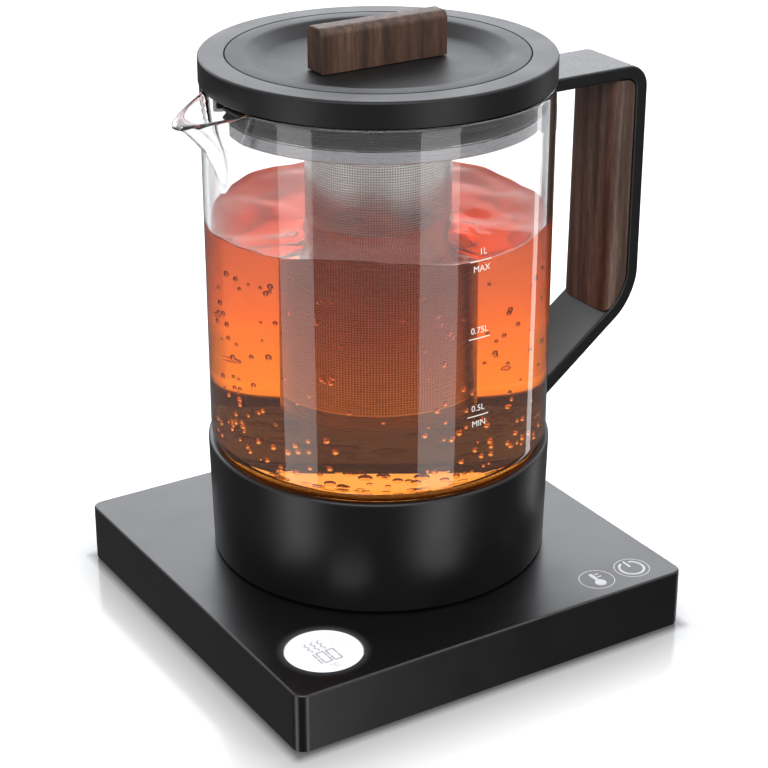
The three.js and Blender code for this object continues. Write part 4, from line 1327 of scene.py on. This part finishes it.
@dataclass
class Jug(Part):
    """Glass jug with its black foot, heated floor and marks."""

    radius: float = 57.0
    wall: float = 2.0
    neck: float = 55.3
    foot: float = 13.8
    rim: float = 163.5
    shell_height: float = 40.3
    spout_root: float = 135.0
    spout_reach: float = 20.6
    spout_bead: float = 1.1
    spout_half: float = 15.7
    spout_tip: float = 72.8
    spout_drop: float = 4.2
    # Height over which the lip's bead grows, and the distance between the rings of points.
    bead_reach: float = 3.2
    ring_step: float = 1.2
    mark_azimuth: float = -89.0

    def build(self) -> None:
        """Builds every piece of the jug but its handle."""
        self.shell()
        self.glass()
        self.floor()
        self.seal()
        self.marks()
        finishes = self.finishes
        dress(finishes.inner, "jug_base_cover", "jug_connector")
        dress(finishes.brass, "jug_contact_ring", "jug_contact_pin")
        dress(finishes.steel, "temperature_sensor", "heating_element")
        dress(finishes.steel, *(f"jug_cover_screw_{i}" for i in range(1, 4)))

    def shell(self) -> None:
        """Turns the black foot with its rounded upper lip."""
        corners = [
            (55.0, 0.3, 0.2), (57.2, 0.3, 0.6), (58.1, self.shell_height, 1.1),
            (55.6, self.shell_height, 0.3), (55.6, 9.9), (52.2, 9.9), (52.2, 7.9), (55.0, 5.9),
        ]
        bm = turned(corners, steps=192)
        self.put("jug_foot_shell", self.finishes.shell, bm, "jug_base_shell", "base_black")

    def glass(self) -> None:
        """Blows the glass tube and pulls its spout."""
        inner = self.radius - self.wall
        narrow = self.neck - self.wall
        corners = [
            (narrow, self.foot, 0.4), (self.neck, self.foot, 0.4), (self.neck, 40.2, 0.8),
            (self.radius, 43.4, 1.2), (self.radius, self.rim, 0.9), (inner, self.rim, 0.9),
            (inner, 43.9, 1.2), (narrow, 40.7, 0.8),
        ]
        bm = draw(corners)
        cut(bm, 2, [self.spout_root - 1 + self.ring_step * i for i in range(24)])
        spin(bm, steps=360)
        for vert in bm.verts:
            self.pull(vert, inner)
        finish, slot = self.finishes.glass, "clear_glass"
        self.put("glass_jug", finish, bm, "glass_body", slot, smooth=ROUND_SMOOTH)

    def pull(self, vert: bmesh.types.BMVert, inner: float) -> None:
        """Moves a point of the tube to its place on the spout.

        Args:
            vert: the point.
            inner: inner radius of the tube.
        """
        x, y, z = vert.co
        full = self.rim - self.spout_root
        share = (z - self.spout_root) / full
        if share <= 0 or x > 0:
            return
        out = min(max((math.hypot(x, y) - inner) / self.wall, 0.0), 1.0)
        start = math.sqrt(self.radius**2 - self.spout_half**2)
        fall = self.spout_drop / (self.spout_tip - start)
        place, lower, bead = x, 1.0, 0.0
        for _ in range(12):
            level = share * lower
            half = self.spout_half * level**0.7 - (1 - out)
            if half <= 0 or abs(y) >= half:
                return
            nose = math.cos(math.pi * y / half / 2)
            lean = 1.8 * self.spout_reach * level**0.8 * nose / full
            grown = (1 + 0.6 * nose * min(2 * level, 1.0)) * math.hypot(1.0, lean) - 1
            place = x - self.spout_reach * level**1.8 * nose + (1 - out) * self.wall * grown
            lower = 1 - fall * max(-place - start, 0.0) / full
            grows = max(1 - (1 - share) * full / self.bead_reach, 0.0)
            bead = self.spout_bead * nose**3 * grows * out
        vert.co = Vector((place - bead, y, self.spout_root + share * lower * full - bead))

    def floor(self) -> None:
        """Presses the steel floor of the jug."""
        corners = [
            (0.0, 12.8), (49.4, 12.8, 1.0), (50.8, 10.2, 1.0), (55.2, 10.2), (55.2, 11.4),
            (51.5, 11.4, 0.8), (50.1, 14.0, 1.2), (0.0, 14.0),
        ]
        bm = turned(corners, closed=False)
        self.put("heater_floor", self.finishes.floor, bm, "heater_plate", "steel")

    def seal(self) -> None:
        """Moulds the gasket at the edge of the floor."""
        corners = [
            (51.9, 11.7), (55.2, 11.7), (55.2, 13.5), (53.0, 13.5), (53.0, 15.8, 0.3),
            (51.9, 15.8, 0.3),
        ]
        finish, slot = self.finishes.silicone, "silicone_seal"
        self.put("floor_gasket", finish, turned(corners), "floor_seal", slot)

    def marks(self) -> None:
        """Prints the filling marks on the glass, in enamel that follows the wall."""
        ink = 0.03
        rows = [
            ("1L", 122.0, 3.0, 1.6),
            ("MAX", 116.5, 3.0, 1.2),
            ("0.75L", 96.0, 3.0, 0.8),
            ("0.5L", 69.3, 3.0, 0.8),
            ("MIN", 63.9, 3.0, 1.2),
        ]
        parts = [moved(lettering(words, size, ink), (x, z, 0.0)) for words, z, size, x in rows]
        for level in (119.2, 93.4, 66.7):
            line = [(-3.2 + 8.1 * i / 12, level) for i in range(13)]
            parts.append(ribbon(line, 0.35, ink))
        bm = joined(parts)
        for vert in bm.verts:
            turn = math.radians(self.mark_azimuth) + vert.co.x / self.radius
            out = self.radius + 0.01 + vert.co.z
            vert.co = Vector((out * math.cos(turn), out * math.sin(turn), vert.co.y))
        self.put("filling_marks", self.finishes.enamel, bm, smooth=PRINT_SMOOTH)


@dataclass
class Handle(Part):
    """Strap handle bent from one strip, its bracket on the glass and the walnut grip."""

    reach: float = 99.5
    width: float = 26.0
    thick: float = 4.8
    top: float = 156.4
    slope: float = 37.0
    bend: Vector = field(default_factory=lambda: Vector((78.5, 0.0, 82.0)))
    bend_radius: float = 21.0
    # Radii on which the ends of the strip sit: on the glass, and above and beside the foot ring.
    glass_seat: float = 60.35
    arm_seat: float = 57.7
    ring_seat: float = 58.5
    lug_seat: float = 58.4
    grip_face: float = 86.0
    grip_edge: float = 4.5

    def build(self) -> None:
        """Builds the handle."""
        self.strap()
        self.bracket()
        self.grip()
        dress(self.finishes.steel, "bracket_screw", "grip_screw_upper", "grip_screw_lower")
        dress(self.finishes.steel, "handle_foot_screw_1", "handle_foot_screw_2")

    def fall(self, radius: float, x: float) -> float:
        """Height of the sloping arm's line that leaves the bend at a radius.

        Args:
            radius: radius of that line in the bend.
            x: distance from the jug's axis.

        Returns:
            The height.
        """
        turn = math.radians(self.slope - 90)
        leave_x = self.bend.x + radius * math.cos(turn)
        leave_z = self.bend.z + radius * math.sin(turn)
        return leave_z - (leave_x - x) * math.tan(math.radians(self.slope))

    def strap(self) -> None:
        """Bends the strip, fits its ends to the jug and adds the foot lug."""
        inner = self.reach - self.thick
        inner_radius = self.bend_radius - self.thick
        round_share = math.tan(math.radians(90 - self.slope) / 2)
        corners = [
            (58.0, self.top), (self.reach, self.top, 8.0),
            (self.reach, self.fall(self.bend_radius, self.reach), self.bend_radius * round_share),
            (56.0, self.fall(self.bend_radius, 56.0)), (56.0, self.fall(inner_radius, 56.0)),
            (inner, self.fall(inner_radius, inner), inner_radius * round_share),
            (inner, self.top - 4.5, 4.0), (58.0, self.top - 4.5),
        ]
        strap = slab(corners, self.width, 0.7, cuts=15)
        for vert in strap.verts:
            if vert.co.x < 58.5:
                low_seat = self.ring_seat if vert.co.z < 41.2 else self.arm_seat
                seat = self.glass_seat if vert.co.z > 100 else low_seat
                vert.co.x = math.sqrt(seat**2 - vert.co.y**2)
        lug = slab(
            [(57.0, 25.0), (62.4, 25.0, 2.4), (62.4, 45.0), (57.0, 45.0)], 18.0, 0.7, cuts=9
        )
        for vert in lug.verts:
            if vert.co.x < 57.5:
                vert.co.x = math.sqrt(self.lug_seat**2 - vert.co.y**2)
        bm = joined([strap, lug])
        self.put(
            "handle_strip", self.finishes.strap, bm, "handle_strap", "strap_black", weighted=True
        )

    def bracket(self) -> None:
        """Makes the curved pad on the glass and the root that carries the strip."""
        pad = [(57.3, 141.0, 0.5), (60.0, 141.0, 0.8), (60.0, 150.6), (57.3, 150.6)]
        root = [(57.3, 150.4), (60.0, 150.4), (60.0, 156.4, 0.6), (57.3, 156.4, 0.6)]
        tongue = slab([(59.0, 153.2), (69.0, 153.2), (69.0, 155.1), (59.0, 155.1)], 16.0, 0.3)
        parts = [swept(pad, -19.0, 38.0, 24), swept(root, -12.4, 24.8, 16), tongue]
        self.put("handle_pad", self.finishes.strap, joined(parts), "handle_bracket", "strap_black")

    def grip(self) -> None:
        """Shapes the walnut bar behind the upright."""
        outer = self.reach - self.thick - 0.3
        radius = self.bend_radius - self.thick - 0.3
        reach = radius * math.tan(math.radians(90 - self.slope) / 2)
        corners = [
            (self.grip_face, 151.6), (self.grip_face, self.fall(radius, self.grip_face)),
            (outer, self.fall(radius, outer), reach), (outer, 151.6, 3.7),
        ]
        bm = slab(corners, self.width - 0.6, 0.0)
        face = [e for e in bm.edges if all(abs(v.co.x - self.grip_face) < 0.01 for v in e.verts)]
        long = [e for e in face if abs(e.verts[0].co.z - e.verts[1].co.z) > 20]
        bevel(bm, long, self.grip_edge, 10)
        finish, slot = self.finishes.grip, "walnut_grip"
        self.put("walnut_grip_bar", finish, bm, "handle_grip", slot, weighted=True)


@dataclass
class Brew(Part):
    """The tea in the jug, still moving, with the bubbles of the boil."""

    floor: float = 13.95
    neck: float = 53.38
    radius: float = 55.08
    level: float = 119.0
    seed: int = 7
    side_bubbles: int = 170
    loose_bubbles: int = 40
    floor_bubbles: int = 150

    def build(self) -> None:
        """Builds the tea and its bubbles."""
        self.tea()
        self.bubbles()

    def tea(self) -> None:
        """Fills the jug and stirs the surface."""
        corners = [
            (0.0, self.floor), (self.neck, self.floor, 0.3), (self.neck, 40.9, 0.8),
            (self.radius, 44.0, 1.2), (self.radius, self.level), (0.0, self.level),
        ]
        bm = draw(corners, closed=False)
        cut(bm, 0, [1.5 * i for i in range(1, 37)])
        spin(bm, steps=192)
        for vert in bm.verts:
            if vert.co.z > self.level - 0.1:
                vert.co.z += self.wave(vert.co.x, vert.co.y)
        bm.normal_update()
        for face in bm.faces:
            top = face.normal.z > 0.5 and face.calc_center_median().z > 100
            face.material_index = int(top)
        tea = self.put("tea", self.finishes.tea, bm, smooth=ROUND_SMOOTH)
        tea.data.materials.append(self.finishes.tea_top)

    def wave(self, x: float, y: float) -> float:
        """Height of the moving surface over its mean level.

        Args:
            x: place across the jug.
            y: place across the jug.

        Returns:
            The height in millimetres.
        """
        swell = 1.9 * math.sin(x / 17 + 0.6) * math.cos(y / 21 - 0.4)
        chop = 2.2 * noise.noise(Vector((x / 26, y / 26, 3.1)))
        ripple = 0.5 * noise.noise(Vector((x / 9, y / 9, 8.7)))
        climb = 1.1 * math.exp((math.hypot(x, y) - self.radius) / 1.4)
        return swell + chop + ripple + climb

    def bubbles(self) -> None:
        """Scatters bubbles inside the glass, in the swirl and on the floor."""
        pick = random.Random(self.seed)
        bm = bmesh.new()
        for _ in range(self.side_bubbles):
            side = pick.choice((-1, 1))
            turn = math.radians(CAMERA_TURN + side * pick.uniform(14, 74))
            size = pick.uniform(0.5, 1.35)
            out = self.radius - 0.9 - size - pick.random() * 3.0
            self.bubble(bm, turn, out, 45 + 66 * pick.random() ** 1.4, size)
        for _ in range(self.loose_bubbles):
            turn = math.radians(pick.uniform(0, 360))
            size = pick.uniform(0.4, 1.2)
            self.bubble(bm, turn, pick.uniform(28, 50), pick.uniform(20, 112), size)
        for _ in range(self.floor_bubbles):
            turn = math.radians(pick.uniform(-20, 140))
            size = pick.uniform(0.7, 1.7)
            self.bubble(bm, turn, pick.uniform(12, 49), self.floor + 0.1 + size, size)
        self.put("tea_bubbles", self.finishes.bubble, bm, smooth=180.0)

    def bubble(self, bm: BMesh, turn: float, out: float, height: float, size: float) -> None:
        """Adds one bubble.

        Args:
            bm: the mesh that takes it.
            turn: azimuth in radians.
            out: distance from the jug's axis.
            height: height of its centre.
            size: its radius.
        """
        place = Matrix.Translation((out * math.cos(turn), out * math.sin(turn), height))
        flat = Matrix.Diagonal((1.0, 1.0, 0.85, 1.0))
        bmesh.ops.create_icosphere(bm, subdivisions=2, radius=size, matrix=place @ flat)


# Lid, infuser and cover


@dataclass
class Lid(Part):
    """Outer lid: flange, skirt with its seal and the bright band under it."""

    body: ClassVar[Body] = Body.LID

    radius: float = 57.3
    top: float = 172.2
    seat: float = 163.8
    seam: float = 48.9
    skirt: float = 53.0
    pour_start: float = 177.0
    pour_sweep: float = 330.0

    def build(self) -> None:
        """Builds the lid's three pieces."""
        flange = [
            (self.skirt, self.seat), (self.radius, self.seat, 0.3), (self.radius, self.top, 0.9),
            (self.seam, self.top, 0.35), (self.seam, 166.0), (46.8, 166.0), (46.8, 164.0),
            (50.4, self.seat),
        ]
        skirt = [
            (50.4, 156.0, 0.2), (self.skirt, 156.0, 0.3), (self.skirt, 157.3), (51.7, 157.3),
            (51.7, 161.7), (self.skirt, 161.7), (self.skirt, 163.9), (47.2, 163.9), (50.4, 161.5),
        ]
        seal = [
            (52.0, 157.6), (54.6, 157.6, 0.25), (54.6, 158.4, 0.25), (53.4, 159.5, 0.25),
            (54.6, 160.6, 0.25), (54.6, 161.4, 0.25), (52.0, 161.4),
        ]
        band = [
            (49.6, 151.6, 0.2), (self.skirt, 151.6, 0.6), (self.skirt, 155.7, 0.2),
            (52.0, 155.7, 0.2), (52.0, 152.6, 0.3), (49.6, 152.6, 0.2),
        ]
        finishes = self.finishes
        ring = joined([turned(flange, steps=192), self.open_ring(skirt)])
        seal_ring, band_ring = self.open_ring(seal), self.open_ring(band)
        parts = (
            ("lid_ring_shell", finishes.lid, ring, "lid_ring", "lid_black"),
            ("lid_gasket", finishes.silicone, seal_ring, "lid_seal", "silicone_seal"),
            ("lid_bright_band", finishes.ring, band_ring, "lid_band", "steel"),
        )
        for part in parts:
            self.put(*part, weighted=True)

    def open_ring(self, corners: list[Corner]) -> BMesh:
        """Turns a profile up to both sides of the pouring gap."""
        return swept(corners, self.pour_start, self.pour_sweep, 160)


@dataclass
class Infuser(Part):
    """Funnel, perforated sleeve and drained base of the tea infuser."""

    body: ClassVar[Body] = Body.INFUSER

    radius: float = 24.0
    low: float = 53.6
    skirt: float = 59.6
    wall_inner: float = 45.7
    wall_outer: float = 46.5
    sheet: float = 0.3
    cup_floor: float = 54.4
    drain: float = 2.2
    drain_ring: float = 10.0
    keys: tuple[float, ...] = (30.0, 150.0, 270.0)

    def build(self) -> None:
        """Builds the infuser's three pieces."""
        slot = "steel"
        self.put("infuser_hopper", self.finishes.steel, self.funnel(), "infuser_funnel", slot)
        inner, low, high = self.radius - self.sheet, self.skirt + 0.1, 157.0
        sleeve = [(inner, low), (self.radius, low), (self.radius, high), (inner, high)]
        self.put("infuser_screen", self.finishes.screen, turned(sleeve), "infuser_sleeve", slot)
        self.put("infuser_cup", self.finishes.band, self.cup(), "infuser_base", slot)

    def funnel(self) -> BMesh:
        """Spins the funnel, its notched upright wall and its flange.

        Returns:
            A mesh of the three.
        """
        cone = [
            (24.3, 152.0), (25.1, 152.0), (25.1, 154.6, 0.8), (self.wall_outer, 161.0, 0.9),
            (self.wall_outer, 162.6), (self.wall_inner, 162.6), (self.wall_inner, 161.4, 0.7),
            (24.3, 155.4, 0.8),
        ]
        wall = [
            (self.wall_inner, 162.5), (self.wall_outer, 162.5), (self.wall_outer, 167.2),
            (self.wall_inner, 167.2, 0.2),
        ]
        flange = [(46.4, 166.3), (48.4, 166.3, 0.2), (48.4, 167.2, 0.2), (46.4, 167.2)]
        parts = [turned(cone), turned(flange)]
        parts += [swept(wall, key + 6, 108.0, 40) for key in self.keys]
        return joined(parts)

    def cup(self) -> BMesh:
        """Makes the cup under the sleeve with its drain holes.

        Returns:
            A mesh of its floor and its skirt.
        """
        top = self.cup_floor
        corners = [(0.0, self.low), (self.radius, self.low, 0.3), (self.radius, top), (0.0, top)]
        floor = turned(corners, False, 96)
        poles = [vert for vert in floor.verts if vert.co.xy.length < 0.01]
        bmesh.ops.dissolve_verts(floor, verts=poles)
        ring = arc((0.0, 0.0), self.drain_ring, 0, 300, 5)
        drains = [(Vector((x, y, 0.0)), self.drain) for x, y in [(0.0, 0.0), *ring]]
        pierce(floor, 2, (self.low, top), drains)
        outer, inner = self.radius, self.radius - 0.7
        skirt = [(inner, 54.3), (outer, 54.3), (outer, self.skirt, 0.2), (inner, self.skirt, 0.2)]
        return joined([floor, turned(skirt)])


@dataclass
class Cover(Part):
    """Dished inner lid with its walnut knob."""

    body: ClassVar[Body] = Body.COVER

    radius: float = 48.6
    top: float = 172.2
    knob: Vector = field(default_factory=lambda: Vector((46.7, 9.2, 14.3)))
    keys: tuple[float, ...] = (30.0, 150.0, 270.0)

    def build(self) -> None:
        """Builds the cover and its knob."""
        corners = [
            (0.0, 166.4), (43.8, 166.4), (43.8, 162.4, 0.2), (45.4, 162.4, 0.2), (45.4, 167.5),
            (self.radius, 167.5, 0.2), (self.radius, self.top, 0.4), (42.6, self.top, 0.9),
            (37.2, self.top - 4, 1.0), (0.0, self.top - 4),
        ]
        key = [(44.4, 163.0), (46.2, 163.0), (46.2, 164.4), (44.4, 164.4)]
        parts = [turned(corners, closed=False, steps=192)]
        parts += [swept(key, turn - 5, 10.0, 6) for turn in self.keys]
        self.put("cover_dish", self.finishes.dish, joined(parts), "lid_cover", "lid_black")
        self.handle()
        dress(self.finishes.steel, "knob_screw_1", "knob_screw_2")

    def handle(self) -> None:
        """Shapes the walnut bar across the dish."""
        low = self.top - 3.7
        high = low + self.knob.z
        half = self.knob.y / 2
        corners = [(-half, low), (half, low), (half, high, 2.6), (-half, high, 2.6)]
        bm = rotated(slab(corners, self.knob.x, 0.5), 90.0, "Z")
        finish, slot = self.finishes.knob, "walnut_knob"
        self.put("walnut_knob_bar", finish, bm, "lid_knob", slot, weighted=True)


# Studio


@dataclass
class Studio:
    """Pale floor, soft light and the camera."""

    camera_place: Corner = (-0.3488, -0.5437, 0.3691)
    camera_aim: Corner = (-0.00944, 0.00259, 0.0774)
    lens: float = 97.49
    ambient: float = 0.3
    # What upright walls mirror from below the horizon, dim so that they stay deep.
    below: float = 0.15
    # The side strips hang partly below the table, where the upright walls reflect them.
    strip_reach: float = 0.9
    strip_height: float = -0.3
    # Middle of the jug, which the lamps are hung round.
    middle: Vector = field(default_factory=lambda: Vector((-0.011, 0.004, 0.08)))
    floor_radius: float = 9.0

    def build(self) -> None:
        """Sets up floor, world, lamps and camera."""
        self.floor()
        self.world()
        aim = tuple(self.middle)
        self.lamp("back_softbox", (0.62, 1.05, 0.72), aim, (2.2, 0.85), 17.6, "#f5f8ff")
        self.lamp("key_softbox", (-0.55, -0.75, 1.0), aim, (1.6, 0.6), 11.0)
        self.lamp("edge_softbox", (0.64, -0.57, 1.12), aim, (0.4, 0.4), 2.6)
        self.strip("left_strip", -174.7, 0.38, 3.0)
        self.strip("right_strip", -83.0, 0.41, 3.4)
        self.strip("handle_strip", 0.5, 0.1, 0.8)
        self.camera()

    def strip(self, name: str, turn: float, width: float, power: float) -> None:
        """Hangs an upright strip light beside the kettle.

        Args:
            name: name of the lamp.
            turn: direction from the jug to the lamp, in degrees.
            width: its width, in metres.
            power: its power in watts.
        """
        along = Vector((math.cos(math.radians(turn)), math.sin(math.radians(turn)), 0.0))
        aim = Vector((self.middle.x, self.middle.y, self.strip_height))
        self.lamp(name, tuple(aim + along * self.strip_reach), tuple(aim), (width, 1.0), power)

    def floor(self) -> None:
        """Lays the pale floor, which keeps the kettle's shadow and a soft reflection of it."""
        bm = bmesh.new()
        bmesh.ops.create_circle(bm, cap_ends=True, radius=self.floor_radius, segments=96)
        mesh = bpy.data.meshes.new("studio_floor")
        bm.to_mesh(mesh)
        bm.free()
        mesh.materials.append(PaleTable().build())
        floor = bpy.data.objects.new("studio_floor", mesh)
        # Kept out of reflections, as a flagged-off table is, so the black plastic stays deep.
        floor.visible_glossy = False
        bpy.context.scene.collection.objects.link(floor)

    def world(self) -> None:
        """Gives a soft level all round, white where it is seen, also in metal, gloss or glass."""
        world = bpy.data.worlds.new("studio_world")
        world.use_nodes = True
        nodes = Nodes(world.node_tree)
        path = nodes.add("LightPath")
        rise = nodes.add("SeparateXYZ", {0: nodes.add("TexCoord")["Generated"]})["Z"]
        horizon = {"Value": rise, "From Min": -0.05, "From Max": 0.05, "To Min": self.below}
        mirrored = nodes.add("MapRange", horizon)["Result"]
        step = {"Value": path["Is Glossy Ray"], "To Min": self.ambient, "To Max": mirrored}
        for ray in ("Is Camera Ray", "Is Transmission Ray"):
            step = {"Value": path[ray], "To Min": nodes.add("MapRange", step)["Result"]}
        white = {"Color": "#ffffff", "Strength": nodes.add("MapRange", step)["Result"]}
        nodes.add("OutputWorld", {"Surface": nodes.add("Background", white)["Background"]})
        bpy.context.scene.world = world

    def lamp(
        self,
        name: str,
        place: Corner,
        aim: Corner,
        size: Corner,
        power: float,
        tint: str = "#ffffff",
    ) -> None:
        """Hangs a rectangular softbox.

        Args:
            name: name of the lamp.
            place: where it hangs, in metres.
            aim: what it points at, in metres.
            size: its width and height, in metres.
            power: its power in watts.
            tint: hex colour of its light.
        """
        light = bpy.data.lights.new(name, "AREA")
        light.color = linear(tint)[:3]
        light.shape = "RECTANGLE"
        light.size, light.size_y = size
        light.energy = power
        lamp = bpy.data.objects.new(name, light)
        lamp.location = place
        lamp.rotation_euler = (Vector(aim) - Vector(place)).to_track_quat("-Z", "Y").to_euler()
        lamp.visible_camera = False
        lamp.visible_transmission = False
        bpy.context.scene.collection.objects.link(lamp)

    def camera(self) -> None:
        """Sets the camera at the angle of the product picture."""
        data = bpy.data.cameras.new("camera")
        data.lens = self.lens
        data.sensor_width = 36.0
        data.clip_start = 0.01
        camera = bpy.data.objects.new("camera", data)
        camera.location = self.camera_place
        look = Vector(self.camera_aim) - Vector(self.camera_place)
        camera.rotation_euler = look.to_track_quat("-Z", "Y").to_euler()
        bpy.context.scene.collection.objects.link(camera)
        bpy.context.scene.camera = camera


def main() -> None:
    """Builds the kettle and its studio in order."""
    logging.basicConfig(level=logging.INFO, format="%(message)s")
    bpy.context.scene.view_settings.view_transform = "Standard"
    finishes = Finishes()
    for part in (Base, Jug, Handle, Brew, Lid, Infuser, Cover):
        part(finishes).build()
    Studio().build()


if __name__ == "__main__":
    main()
